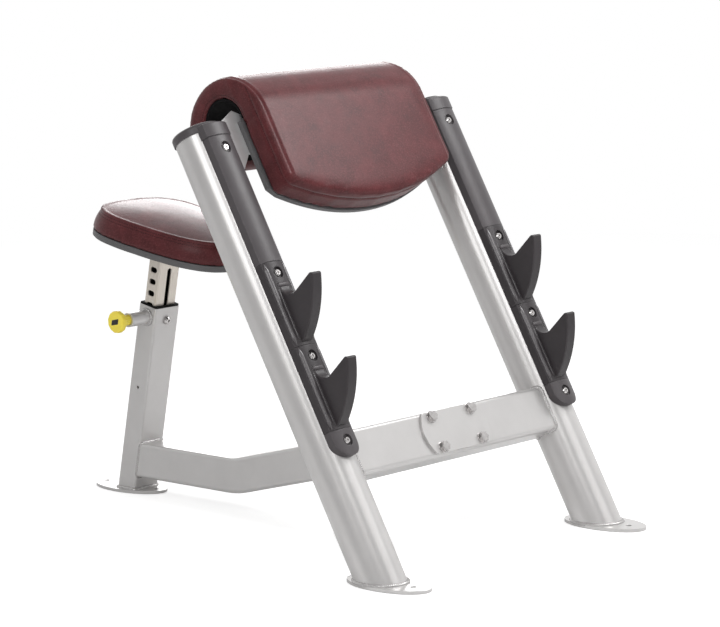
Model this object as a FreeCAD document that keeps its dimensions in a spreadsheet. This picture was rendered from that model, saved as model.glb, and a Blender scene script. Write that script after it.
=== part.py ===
"""Preacher bench: a sloping arm pad on two leaning uprights, and a sliding seat joined to them by a spine.

Row frame in millimetres: +X to the right as seen from the front, +Y from front feet to rear foot, +Z up.
The origin is on the floor, midway between the two front feet and the rear foot.
Pieces of the front frame are drawn in the rake frame: z climbs the uprights, -y stands out towards the front.
Pieces of the seat are drawn in the post frame: z climbs the seat post, +y is behind it.
"""
import FreeCAD, Part
import math
import os
import re

import Sketcher

SIZES = {
    # Shared clearances
    "cut_overrun": 20,
    "running_gap": 0.3,
    "weld_gap": 0.2,
    "module_seam": 0.6,
    # Stance
    "foot_spacing": 1114.2,
    "upright_spacing": 706.2,
    "upright_rake": 29.35,
    "upright_lead": 18.6,
    "post_rake": 11.71,
    "post_lead": 18.2,
    # Feet
    "foot_length": 208,
    "foot_width": 110,
    "foot_thickness": 7,
    "foot_hole_diameter": 13,
    "front_foot_hole_reach": 65,
    "rear_foot_hole_reach": 82,
    # Uprights
    "tube_diameter": 101.6,
    "tube_wall": 3.2,
    "tube_length": 1006,
    # Top caps
    "cap_diameter": 107,
    "cap_skirt": 5,
    "cap_rise": 14,
    "cap_crown_round": 7,
    "cap_brow_rise": 5,
    # Guards down the front of the uprights
    "guard_half_width": 33,
    "guard_shoulder": 57.5,
    "guard_crown_radius": 68.3,
    "guard_wall": 4,
    "guard_top_drop": 25,
    "guard_foot": 317.3,
    "catch_pitch": 187.2,
    "screw_drop": 25.4,
    "top_screw_drop": 28.6,
    "screw_pit_radius": 12.5,
    "screw_pit_depth": 6,
    "screw_boss_wall": 2.5,
    # Guard screws
    "screw_diameter": 8,
    "screw_length": 16,
    "screw_head_diameter": 16,
    "screw_head_height": 5.2,
    "screw_head_round": 2.4,
    "screw_socket_width": 5,
    "screw_socket_depth": 3,
    # Catch fins
    "fin_thickness": 29,
    "fin_edge_round": 3,
    "fin_heel_rise": 7.3,
    "fin_heel_stand": 68.8,
    "fin_nose_radius": 233,
    "fin_tip_rise": 115.7,
    "fin_tip_stand": 161.8,
    "fin_tip_radius": 7,
    "fin_back_rise": 121,
    "fin_back_stand": 153.5,
    "cradle_radius": 25.6,
    "cradle_rise": 129.5,
    "cradle_foot_rise": 104.9,
    "cradle_foot_stand": 99,
    "cradle_lip_stand": 66.4,
    # Crossbeam and its bolted joint to the spine
    "beam_climb": 271.3,
    "beam_height": 101.6,
    "beam_depth": 65,
    "beam_wall": 3.2,
    "beam_corner_radius": 10,
    "plate_thickness": 6,
    "plate_height": 92,
    "plate_half_width": 84.4,
    "plate_end_radius": 68,
    "spine_plate_width": 166,
    "spine_plate_corner": 14,
    "joint_bolt_across": 125,
    "joint_bolt_along": 68.7,
    "joint_bolt_diameter": 12,
    "joint_head_width": 19,
    "joint_head_height": 8,
    "joint_nut_height": 10,
    "joint_thread_spare": 4,
    "washer_diameter": 26,
    "washer_thickness": 2.5,
    # Spine
    "spine_width": 76,
    "spine_depth": 80.6,
    "spine_wall": 3.2,
    "spine_corner_radius": 9,
    "spine_height": 77.3,
    "spine_rise": 14.3,
    "spine_bend_place": 187.5,
    "spine_bend_radius": 200,
    # Seat post
    "post_width": 76,
    "post_depth": 56,
    "post_wall": 3.2,
    "post_corner_radius": 6,
    "post_length": 450.5,
    "liner_rim_thickness": 3.6,
    "liner_rim_inset": 1,
    "liner_length": 150,
    "vent_hole_diameter": 7,
    "vent_hole_drop": 195.9,
    # Sliding tube
    "slide_width": 63.5,
    "slide_depth": 37.5,
    "slide_wall": 3,
    "slide_corner_radius": 4,
    "slide_sunk": 220.5,
    "slide_rise": 144.5,
    "notch_length": 20.5,
    "notch_height": 12.6,
    "notch_pitch": 27.8,
    "notch_steps": 4,
    "pin_drop": 26.3,
    "stop_slot_width": 12.5,
    "stop_slot_spare": 4.8,
    # Travel stop bolt
    "stop_bolt_drop": 30.5,
    "stop_bolt_diameter": 10,
    "stop_bolt_head_diameter": 20,
    "stop_bolt_head_height": 8,
    "stop_bolt_head_round": 4,
    "stop_bolt_socket_width": 6,
    "stop_bolt_socket_depth": 4,
    "stop_bolt_reach": 15,
    # Pull pin
    "pin_diameter": 12,
    "pin_stroke_in": 7,
    "pin_stroke_out": 4,
    "barrel_diameter": 33,
    "barrel_bore": 25,
    "barrel_length": 58,
    "barrel_floor": 6,
    "knob_neck_diameter": 24,
    "knob_neck_sunk": 9,
    "knob_neck_length": 34,
    "knob_diameter": 51,
    "knob_thickness": 15,
    "knob_round": 5,
    "spring_wire": 1.6,
    # Seat
    "seat_centre": 35.7,
    "seat_length": 386.5,
    "seat_half_width": 139.7,
    "seat_flare": 23.5,
    "seat_corner_power": 2.9,
    "seat_base_thickness": 14.5,
    "seat_base_inset": 2,
    "cushion_edge_height": 53.5,
    "cushion_crown": 15,
    "cushion_ridge_inset": 14,
    "seat_plate_length": 150,
    "seat_plate_width": 110,
    "seat_plate_thickness": 5,
    "seat_plate_corner": 10,
    "seat_bolt_along": 116,
    "seat_bolt_across": 84,
    "seat_bolt_diameter": 8,
    "seat_bolt_head_diameter": 14,
    "seat_bolt_head_height": 5,
    "seat_bolt_length": 13,
    # Arm pad
    "pad_half_width": 258,
    "pad_back_stand": 45,
    "pad_front_stand": 110.5,
    "pad_seam_stand": 88,
    "pad_back_drop": 225,
    "pad_seam_drop": 222,
    "pad_front_drop": 212,
    "pad_back_arch_radius": 525,
    "pad_front_arch_radius": 596,
    "pad_edge_round": 13,
    "pad_corner_radius": 18,
    "pad_crown": 1,
    "roll_rise": 5.2,
    "roll_radius": 117.5,
    "bore_radius": 57,
    "bore_round_share": 0.25,
    "bore_shift_back": 12,
    "bore_shift_up": 13.5,
    "lip_drop": 101,
    # Shell behind the arm pad and lining of its roll
    "shell_half_width": 261,
    "shell_thickness": 11,
    "shell_drop": 226,
    "shell_rise": 9,
    "shell_corner_radius": 18,
    "liner_thickness": 3,
    "liner_hem": 27,
    "liner_end_turn": 9,
    # Brackets that carry the arm pad
    "bracket_thickness": 6,
    "bracket_root_drop": 161,
    "bracket_root_rise": 8,
    "bracket_drop": 63,
    "bracket_rise": 37,
    "bracket_shoulder_place": 319,
    "bracket_corner_place": 263.5,
    "bracket_tip": 192,
    "bracket_tip_drop": 6,
    "pad_bolt_place": 222,
    "pad_bolt_drop": 34,
    "pad_bolt_pitch": 34,
    "pad_bolt_diameter": 8,
    "pad_bolt_head_diameter": 17,
    "pad_bolt_head_height": 5,
    "pad_bolt_bite": 8,
}

# Heights that follow the length of an upright or of the seat post, kept in the sheet as formulas
HEIGHTS = {
    "cap_skirt_foot": "tube_length - cap_skirt",
    "cap_top": "tube_length + cap_rise",
    "cap_brow_top": "tube_length + cap_brow_rise",
    "guard_top": "tube_length - guard_top_drop",
    "pad_back_foot": "tube_length - pad_back_drop",
    "pad_seam_foot": "tube_length - pad_seam_drop",
    "pad_front_foot": "tube_length - pad_front_drop",
    "roll_climb": "tube_length + roll_rise",
    "shell_foot": "tube_length - shell_drop",
    "shell_top": "tube_length + shell_rise",
    "bracket_root_foot": "tube_length - bracket_root_drop",
    "bracket_root_top": "tube_length + bracket_root_rise",
    "bracket_foot": "tube_length - bracket_drop",
    "bracket_top": "tube_length + bracket_rise",
    "bracket_tip_top": "tube_length - bracket_tip_drop",
    "pad_bolt_climb": "tube_length - pad_bolt_drop",
    "vent_hole_height": "post_length - vent_hole_drop",
    "slide_foot": "post_length - slide_sunk",
    "slide_top": "post_length + slide_rise",
    "pin_height": "post_length - pin_drop",
    "stop_bolt_height": "post_length - stop_bolt_drop",
}

doc = FreeCAD.newDocument("preacher_bench")
sheet = doc.addObject("Spreadsheet::Sheet", "Sizes")
for row, (name, value) in enumerate((SIZES | HEIGHTS).items(), start=1):
    sheet.set(f"A{row}", name)
    sheet.set(f"B{row}", f"={value}" if name in HEIGHTS else str(value))
    sheet.setAlias(f"B{row}", name)
doc.recompute()

X_AXIS = FreeCAD.Vector(1, 0, 0)
Y_AXIS = FreeCAD.Vector(0, 1, 0)
Z_AXIS = FreeCAD.Vector(0, 0, 1)
SIDES = {"left": -1, "right": 1}
PARTS = []


def sized(text):
    """Expression in which each size name points at its cell of the sheet."""
    names = SIZES | HEIGHTS

    def pointed(word):
        return "Sizes." + word.group() if word.group() in names else word.group()

    return re.sub(r"[a-z_]+", pointed, text)


def size(text):
    """Number that an expression in size names stands for."""
    return float(sheet.evalExpression(sized(text)))


# Places that several pieces share, each worked out from the sizes
UPRIGHT_PLACE = "(upright_spacing / 2)"
UPRIGHT_FOOT = "(upright_lead - foot_spacing / 2)"
POST_FOOT = "(foot_spacing / 2 - post_lead)"
TUBE_RADIUS = "(tube_diameter / 2)"
CROWN_CENTRE = "(sqrt(guard_crown_radius ^ 2 - guard_half_width ^ 2) - guard_shoulder)"
GUARD_FRONT = f"(guard_crown_radius - {CROWN_CENTRE})"
PIT_FLOOR = f"({GUARD_FRONT} - screw_pit_depth)"
TOP_SCREW = "(guard_top - top_screw_drop)"
BEAM_FACE = "(beam_depth / 2)"
PLATE_FACE = "(beam_depth / 2 + plate_thickness)"
SEAT_TOP = "(slide_top + seat_base_thickness)"
NOSE_PLACE = "(slide_width / 2 + running_gap)"
SHELL_BACK = "(pad_back_stand - running_gap - shell_thickness)"
CAP_SWELL = "((cap_diameter - tube_diameter) / 4)"
CAP_LEG = f"(guard_half_width + {CAP_SWELL})"
CAP_SHOULDER = f"(sqrt((guard_crown_radius + {CAP_SWELL}) ^ 2 - {CAP_LEG} ^ 2) - {CROWN_CENTRE})"


def keep(piece):
    """List a piece among those that are written out."""
    PARTS.append(piece)
    return piece


def new_body(label):
    body = doc.addObject("PartDesign::Body", label)
    body.Label = label
    return body


def place(piece, x="0", y="0", z="0", turn="0"):
    """Put a piece at a bound place, turned about the X axis by a bound angle."""
    piece.Placement = FreeCAD.Placement(FreeCAD.Vector(), FreeCAD.Rotation(X_AXIS, size(turn)))
    for axis, text in (("x", x), ("y", y), ("z", z)):
        piece.setExpression(f"Placement.Base.{axis}", sized(text))
    if turn != "0":
        piece.setExpression("Placement.Rotation.Angle", sized(turn))
    return piece


def place_on_rake(piece, x="0", climb="0"):
    """Put a piece in the rake frame, some way up the uprights."""
    y = f"{UPRIGHT_FOOT} + ({climb}) * sin(upright_rake)"
    return place(piece, x, y, f"({climb}) * cos(upright_rake)", "-upright_rake")


def place_on_post(piece, x="0", climb="0"):
    """Put a piece in the post frame, some way up the seat post."""
    y = f"{POST_FOOT} - ({climb}) * sin(post_rake)"
    return place(piece, x, y, f"({climb}) * cos(post_rake)", "post_rake")


def new_sketch(body, role, name, lift="0"):
    """Sketch on one of the body's own origin planes, lifted along the plane's normal."""
    plane = next(feature for feature in body.Origin.OriginFeatures if feature.Role == role)
    sketch = body.newObject("Sketcher::SketchObject", name)
    sketch.AttachmentSupport = [(plane, "")]
    sketch.MapMode = "FlatFace"
    if lift != "0":
        sketch.setExpression("AttachmentOffset.Base.z", sized(lift))
    return sketch


def bind_constraint(sketch, constraint, text):
    index = sketch.addConstraint(constraint)
    sketch.setExpression(f"Constraints[{index}]", sized(text))


def bind_point(sketch, side, end, point):
    """Hold one end or centre of a drawn side at two bound coordinates."""
    for kind, text in zip(("DistanceX", "DistanceY"), point):
        bind_constraint(sketch, Sketcher.Constraint(kind, -1, 1, side, end, size(text)), text)


def draw_circle(sketch, x, y, radius):
    centre = FreeCAD.Vector(size(x), size(y), 0)
    side = sketch.addGeometry(Part.Circle(centre, Z_AXIS, size(radius)))
    bind_point(sketch, side, 3, (x, y))
    bind_constraint(sketch, Sketcher.Constraint("Radius", side, size(radius)), radius)


def arc_between(start, end, radius, turn):
    """Shorter arc from start to end; turn is 1 if it runs counter-clockwise and -1 if clockwise."""
    chord = end - start
    half = chord.Length / 2
    across = FreeCAD.Vector(-chord.y, chord.x, 0).normalize()
    centre = start + chord * 0.5 + across * (turn * math.sqrt(max(radius * radius - half * half, 0)))
    first, last = (start, end) if turn > 0 else (end, start)
    angles = [math.atan2(point.y - centre.y, point.x - centre.x) for point in (first, last)]
    return Part.ArcOfCircle(Part.Circle(centre, Z_AXIS, radius), *angles)


def draw_outline(sketch, points, arcs=None):
    """Closed outline through bound points; arcs gives (radius, turn) for the sides that are curved."""
    arcs = arcs or {}
    spots = [FreeCAD.Vector(size(x), size(y), 0) for x, y in points]
    first = sketch.GeometryCount
    ends = []
    for number, start in enumerate(spots):
        end = spots[(number + 1) % len(spots)]
        if number in arcs:
            radius, turn = arcs[number]
            sketch.addGeometry(arc_between(start, end, size(radius), turn))
            ends.append((1, 2) if turn > 0 else (2, 1))
        else:
            sketch.addGeometry(Part.LineSegment(start, end))
            ends.append((1, 2))
    for number, point in enumerate(points):
        after = (number + 1) % len(points)
        side, following = first + number, first + after
        joined = (side, ends[number][1], following, ends[after][0])
        sketch.addConstraint(Sketcher.Constraint("Coincident", *joined))
        bind_point(sketch, side, ends[number][0], point)
        if number in arcs:
            radius = arcs[number][0]
            bind_constraint(sketch, Sketcher.Constraint("Radius", side, size(radius)), radius)


def draw_rounded_box(sketch, half_width, low, high, radius):
    """Box with round corners, centred on the sketch's upright axis, between two heights."""
    inner = f"({half_width} - {radius})"
    points = [
        (f"-{inner}", low), (inner, low),
        (half_width, f"{low} + {radius}"), (half_width, f"{high} - {radius}"),
        (inner, high), (f"-{inner}", high), (f"-({half_width})", f"{high} - {radius}"),
        (f"-({half_width})", f"{low} + {radius}"),
    ]
    draw_outline(sketch, points, {side: (radius, 1) for side in (1, 3, 5, 7)})


def draw_slot(sketch, half_width, low, high):
    """Upright slot with round ends, on the sketch's upright axis."""
    points = [
        (f"-({half_width})", f"{low} + {half_width}"), ("0", low), (half_width, f"{low} + {half_width}"),
        (half_width, f"{high} - {half_width}"), ("0", high), (f"-({half_width})", f"{high} - {half_width}"),
    ]
    draw_outline(sketch, points, {side: (half_width, 1) for side in (0, 1, 3, 4)})


def add_pad(body, sketch, length, middle=False, reversed_way=False):
    pad = body.newObject("PartDesign::Pad", sketch.Name + "_pad")
    pad.Profile = sketch
    pad.setExpression("Length", sized(length))
    pad.SideType = "Symmetric" if middle else "One side"
    pad.Reversed = reversed_way
    doc.recompute()
    return pad


def add_pocket(body, sketch, length=None, reversed_way=False):
    """Cut a sketch out of a body, both ways right through where no length is given."""
    before = body.Shape.Volume
    pocket = body.newObject("PartDesign::Pocket", sketch.Name + "_cut")
    pocket.Profile = sketch
    pocket.Reversed = reversed_way
    if length is None:
        pocket.Type = "ThroughAll"
        pocket.SideType = "Symmetric"
    else:
        pocket.setExpression("Length", sized(length))
    doc.recompute()
    if not body.Shape.Volume < before:
        raise RuntimeError(f"{sketch.Label} cuts nothing from {body.Label}")
    return pocket


def add_round(body, kind, amount, wanted):
    """Fillet or chamfer the edges of a body's last feature that a test picks."""
    base = body.Tip
    names = [f"Edge{number}" for number, edge in enumerate(base.Shape.Edges, start=1) if wanted(edge)]
    rounding = body.newObject(f"PartDesign::{kind}", f"{body.Name}_{kind.lower()}")
    rounding.Base = (base, names)
    rounding.setExpression("Radius" if kind == "Fillet" else "Size", sized(amount))
    doc.recompute()
    return rounding


def add_level_foot(body, reach, turn):
    """Trim the lower end of a leaning tube level, on top of its foot plate."""
    trim = new_sketch(body, "YZ_Plane", "level_trim")
    height = f"(foot_thickness - ({{}}) * sin({turn})) / cos({turn})"
    low = f"-(cut_overrun + 2 * {reach})"
    back, front = reach, f"-({reach})"
    near, far = height.format(front), height.format(back)
    draw_outline(trim, [(front, near), (front, low), (back, low), (back, far)])
    add_pocket(body, trim)


def make_foot(label, x, y, hole_reach):
    """Oval floor plate with two bolt holes fore and aft."""
    oval = doc.addObject("Part::Ellipse", label + "_oval")
    oval.setExpression("MajorRadius", sized("foot_length / 2"))
    oval.setExpression("MinorRadius", sized("foot_width / 2"))
    slab = doc.addObject("Part::Extrusion", label + "_slab")
    slab.Base = oval
    slab.DirMode = "Normal"
    slab.Solid = True
    slab.setExpression("LengthFwd", sized("foot_thickness"))
    piece = slab
    for number, way in enumerate((-1, 1)):
        hole = doc.addObject("Part::Cylinder", f"{label}_hole_{number}")
        hole.setExpression("Radius", sized("foot_hole_diameter / 2"))
        hole.setExpression("Height", sized("foot_thickness + 2 * cut_overrun"))
        hole.setExpression("Placement.Base.x", sized(f"{way} * {hole_reach}"))
        hole.setExpression("Placement.Base.z", sized("-cut_overrun"))
        cut = doc.addObject("Part::Cut", f"{label}_cut_{number}")
        cut.Base = piece
        cut.Tool = hole
        piece = cut
    piece.Label = label
    piece.Placement = FreeCAD.Placement(FreeCAD.Vector(), FreeCAD.Rotation(Z_AXIS, 90))
    piece.setExpression("Placement.Base.x", sized(x))
    piece.setExpression("Placement.Base.y", sized(y))
    return keep(piece)


def make_feet():
    for side, way in SIDES.items():
        x = f"{way} * {UPRIGHT_PLACE}"
        make_foot(f"{side}_front_foot", x, "-foot_spacing / 2", "front_foot_hole_reach")
    make_foot("rear_foot", "0", "foot_spacing / 2", "rear_foot_hole_reach")


def screw_climbs():
    """Heights up the rake of the four guard screws on one upright."""
    modules = [f"(guard_foot + {number} * catch_pitch - screw_drop)" for number in range(3)]
    return modules + [TOP_SCREW]


def make_upright(side):
    """Round tube, trimmed level at the foot, with a hole for each guard screw."""
    body = new_body(f"{side}_upright_tube")
    ring = new_sketch(body, "XY_Plane", "upright_ring", "-tube_diameter")
    draw_circle(ring, "0", "0", TUBE_RADIUS)
    draw_circle(ring, "0", "0", f"{TUBE_RADIUS} - tube_wall")
    add_pad(body, ring, "tube_length + tube_diameter")
    add_level_foot(body, "tube_diameter", "-upright_rake")
    holes = new_sketch(body, "XZ_Plane", "upright_holes")
    for climb in screw_climbs():
        draw_circle(holes, "0", climb, "screw_diameter / 2 + running_gap")
    add_pocket(body, holes, f"{TUBE_RADIUS} + cut_overrun", reversed_way=True)
    return keep(place_on_rake(body, f"{SIDES[side]} * {UPRIGHT_PLACE}"))


def draw_guard_section(sketch):
    """Channel that straddles the front of the tube: two legs and a crowned front."""
    legs, inner = "guard_half_width", "(guard_half_width - guard_wall)"
    stand = f"sqrt(({TUBE_RADIUS} + weld_gap) ^ 2 - {{}} ^ 2)"
    shoulder = "guard_shoulder"
    inner_shoulder = f"sqrt((guard_crown_radius - guard_wall) ^ 2 - {inner} ^ 2) - {CROWN_CENTRE}"
    points = [
        (f"-{legs}", "-" + stand.format(legs)), (f"-{legs}", f"-({shoulder})"),
        (legs, f"-({shoulder})"), (legs, "-" + stand.format(legs)),
        (inner, "-" + stand.format(inner)), (inner, f"-({inner_shoulder})"),
        (f"-{inner}", f"-({inner_shoulder})"), (f"-{inner}", "-" + stand.format(inner)),
    ]
    arcs = {1: ("guard_crown_radius", 1), 5: ("guard_crown_radius - guard_wall", -1)}
    draw_outline(sketch, points, arcs)


def draw_block_section(sketch, swell="0"):
    """Block that fills the space between the front of the tube and the guard's crown."""
    legs, crown = f"(guard_half_width + {swell})", f"(guard_crown_radius + {swell})"
    stand = f"sqrt(({TUBE_RADIUS} + weld_gap) ^ 2 - {legs} ^ 2)"
    shoulder = f"(sqrt({crown} ^ 2 - {legs} ^ 2) - {CROWN_CENTRE})"
    points = [
        (f"-{legs}", f"-{stand}"), (f"-{legs}", f"-{shoulder}"), (legs, f"-{shoulder}"), (legs, f"-{stand}"),
    ]
    draw_outline(sketch, points, {1: (crown, 1), 3: (f"{TUBE_RADIUS} + weld_gap", -1)})


def add_screw_pit(body, climb):
    """Solid boss behind the guard's front, with a round pit for the screw head and a hole for its shank."""
    boss = new_sketch(body, "XZ_Plane", "screw_boss", f"{TUBE_RADIUS} + weld_gap")
    draw_circle(boss, "0", climb, "screw_pit_radius + screw_boss_wall")
    add_pad(body, boss, f"{PIT_FLOOR} + screw_boss_wall / 2 - ({TUBE_RADIUS} + weld_gap)")
    pit = new_sketch(body, "XZ_Plane", "screw_pit", PIT_FLOOR)
    draw_circle(pit, "0", climb, "screw_pit_radius")
    add_pocket(body, pit, "screw_pit_depth + cut_overrun", reversed_way=True)
    hole = new_sketch(body, "XZ_Plane", "screw_hole")
    draw_circle(hole, "0", climb, "screw_diameter / 2 + running_gap")
    add_pocket(body, hole)


def make_guard(side):
    """Long plain guard from the upper catch to the cap."""
    body = new_body(f"{side}_guard")
    channel = new_sketch(body, "XY_Plane", "guard_channel")
    draw_guard_section(channel)
    foot = "(guard_foot + 2 * catch_pitch)"
    add_pad(body, channel, f"guard_top - module_seam - {foot}")
    add_screw_pit(body, f"{TOP_SCREW} - {foot}")
    return keep(place_on_rake(body, f"{SIDES[side]} * {UPRIGHT_PLACE}", foot))


def make_guard_end(side):
    """Short end block, closed against the tube, whose lower end is round about its screw."""
    body = new_body(f"{side}_guard_end")
    block = new_sketch(body, "XY_Plane", "end_block")
    draw_block_section(block)
    reach = "(screw_drop + guard_half_width)"
    add_pad(body, block, f"{reach} - module_seam")
    add_screw_pit(body, "guard_half_width")
    trim = new_sketch(body, "XZ_Plane", "round_trim")
    wide, low = "(guard_half_width + cut_overrun)", "-cut_overrun"
    half = "guard_half_width"
    points = [
        (f"-{half}", half), (f"-{wide}", half), (f"-{wide}", low),
        (wide, low), (wide, half), (half, half), ("0", "0"),
    ]
    draw_outline(trim, points, {5: (half, -1), 6: (half, -1)})
    add_pocket(body, trim)
    climb = f"guard_foot - {reach}"
    return keep(place_on_rake(body, f"{SIDES[side]} * {UPRIGHT_PLACE}", climb))


def make_catch(side, level, number):
    """Guard module with the fin that a bar is caught on: a cradle behind, a long curved nose in front."""
    body = new_body(f"{side}_{level}_catch")
    channel = new_sketch(body, "XY_Plane", "catch_channel")
    draw_guard_section(channel)
    add_pad(body, channel, "catch_pitch - module_seam")
    fin = new_sketch(body, "YZ_Plane", "catch_fin")
    root = f"({GUARD_FRONT} - guard_wall)"
    points = [
        (f"-{root}", "cradle_rise"), (f"-{root}", "fin_heel_rise"), ("-fin_heel_stand", "fin_heel_rise"),
        ("-fin_tip_stand", "fin_tip_rise"), ("-fin_back_stand", "fin_back_rise"),
        ("-cradle_foot_stand", "cradle_foot_rise"), ("-cradle_lip_stand", "cradle_rise"),
    ]
    arcs = {2: ("fin_nose_radius", -1), 3: ("fin_tip_radius", -1), 5: ("cradle_radius", 1)}
    draw_outline(fin, points, arcs)
    add_pad(body, fin, "fin_thickness", middle=True)
    half = size("fin_thickness / 2")
    out = size("fin_heel_stand")

    def on_fin_face(edge):
        box = edge.BoundBox
        flat = box.XLength < size("running_gap") and abs(abs(box.XMin) - half) < size("running_gap")
        return flat and box.YMin < -out and box.YMax < size(f"-({GUARD_FRONT})") + size("running_gap")

    add_round(body, "Fillet", "fin_edge_round", on_fin_face)
    add_screw_pit(body, "catch_pitch - screw_drop")
    climb = f"guard_foot + {number} * catch_pitch"
    return keep(place_on_rake(body, f"{SIDES[side]} * {UPRIGHT_PLACE}", climb))


def make_cap(side):
    """Cap that closes the tube's top and reaches forward over the guard."""
    body = new_body(f"{side}_top_cap")
    disc = new_sketch(body, "XY_Plane", "cap_disc", "cap_skirt_foot")
    draw_circle(disc, "0", "0", "cap_diameter / 2")
    add_pad(body, disc, "cap_top - cap_skirt_foot")
    brow = new_sketch(body, "XY_Plane", "cap_brow", "guard_top")
    draw_block_section(brow, CAP_SWELL)
    add_pad(body, brow, "cap_brow_top - guard_top")
    socket = new_sketch(body, "XY_Plane", "cap_socket", "cap_skirt_foot")
    draw_circle(socket, "0", "0", f"{TUBE_RADIUS} + weld_gap")
    add_pocket(body, socket, "tube_length + weld_gap - cap_skirt_foot", reversed_way=True)
    top, brow_top = size("cap_top"), size("cap_brow_top")
    slack = size("running_gap")

    def on_crown(edge):
        low, high = edge.BoundBox.ZMin, edge.BoundBox.ZMax
        return abs(low - top) < slack and abs(high - top) < slack

    add_round(body, "Fillet", "cap_crown_round", on_crown)

    def on_brow(edge):
        box = edge.BoundBox
        level = abs(box.ZMin - brow_top) < slack and abs(box.ZMax - brow_top) < slack
        return level and box.YMax < size(f"-{CAP_SHOULDER}") + slack

    add_round(body, "Fillet", "cap_crown_round / 2", on_brow)
    return keep(place_on_rake(body, f"{SIDES[side]} * {UPRIGHT_PLACE}"))


def make_beam():
    """Hollow crossbeam, coped to the round uprights at both ends."""
    body = new_body("crossbeam")
    section = new_sketch(body, "YZ_Plane", "beam_section")
    for shrink in ("0", "beam_wall"):
        low, high = f"({shrink} - beam_height / 2)", f"(beam_height / 2 - {shrink})"
        corner = f"(beam_corner_radius - {shrink})"
        draw_rounded_box(section, f"(beam_depth / 2 - {shrink})", low, high, corner)
    add_pad(body, section, "upright_spacing", middle=True)
    cope = new_sketch(body, "XY_Plane", "beam_cope")
    for way in SIDES.values():
        draw_circle(cope, f"{way} * {UPRIGHT_PLACE}", "0", f"{TUBE_RADIUS} + weld_gap")
    add_pocket(body, cope)
    holes = new_sketch(body, "XZ_Plane", "beam_bolt_holes")
    draw_joint_holes(holes)
    add_pocket(body, holes)
    return keep(place_on_rake(body, climb="beam_climb"))


def draw_joint_holes(sketch):
    for across in (-1, 1):
        for along in (-1, 1):
            spot = (f"{across} * joint_bolt_across / 2", f"{along} * joint_bolt_along / 2")
            draw_circle(sketch, *spot, "joint_bolt_diameter / 2 + running_gap")


def make_bolt_plate():
    """Plate on the front of the crossbeam, level above and below and round at both ends."""
    body = new_body("crossbeam_bolt_plate")
    face = new_sketch(body, "XZ_Plane", "bolt_plate_face", BEAM_FACE)
    wide, high = "plate_half_width", "plate_height / 2"
    points = [(f"-{wide}", f"-{high}"), (wide, f"-{high}"), (wide, high), (f"-{wide}", high)]
    draw_outline(face, points, {1: ("plate_end_radius", 1), 3: ("plate_end_radius", 1)})
    draw_joint_holes(face)
    add_pad(body, face, "plate_thickness")
    return keep(place_on_rake(body, climb="beam_climb"))


def make_spine_plate():
    """Plate welded to the front end of the spine, behind the crossbeam."""
    body = new_body("spine_end_plate")
    face = new_sketch(body, "XZ_Plane", "spine_plate_face", f"-{PLATE_FACE}")
    low, high = "(-plate_height / 2)", "(plate_height / 2)"
    draw_rounded_box(face, "spine_plate_width / 2", low, high, "spine_plate_corner")
    draw_joint_holes(face)
    add_pad(body, face, "plate_thickness")
    return keep(place_on_rake(body, climb="beam_climb"))


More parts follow.
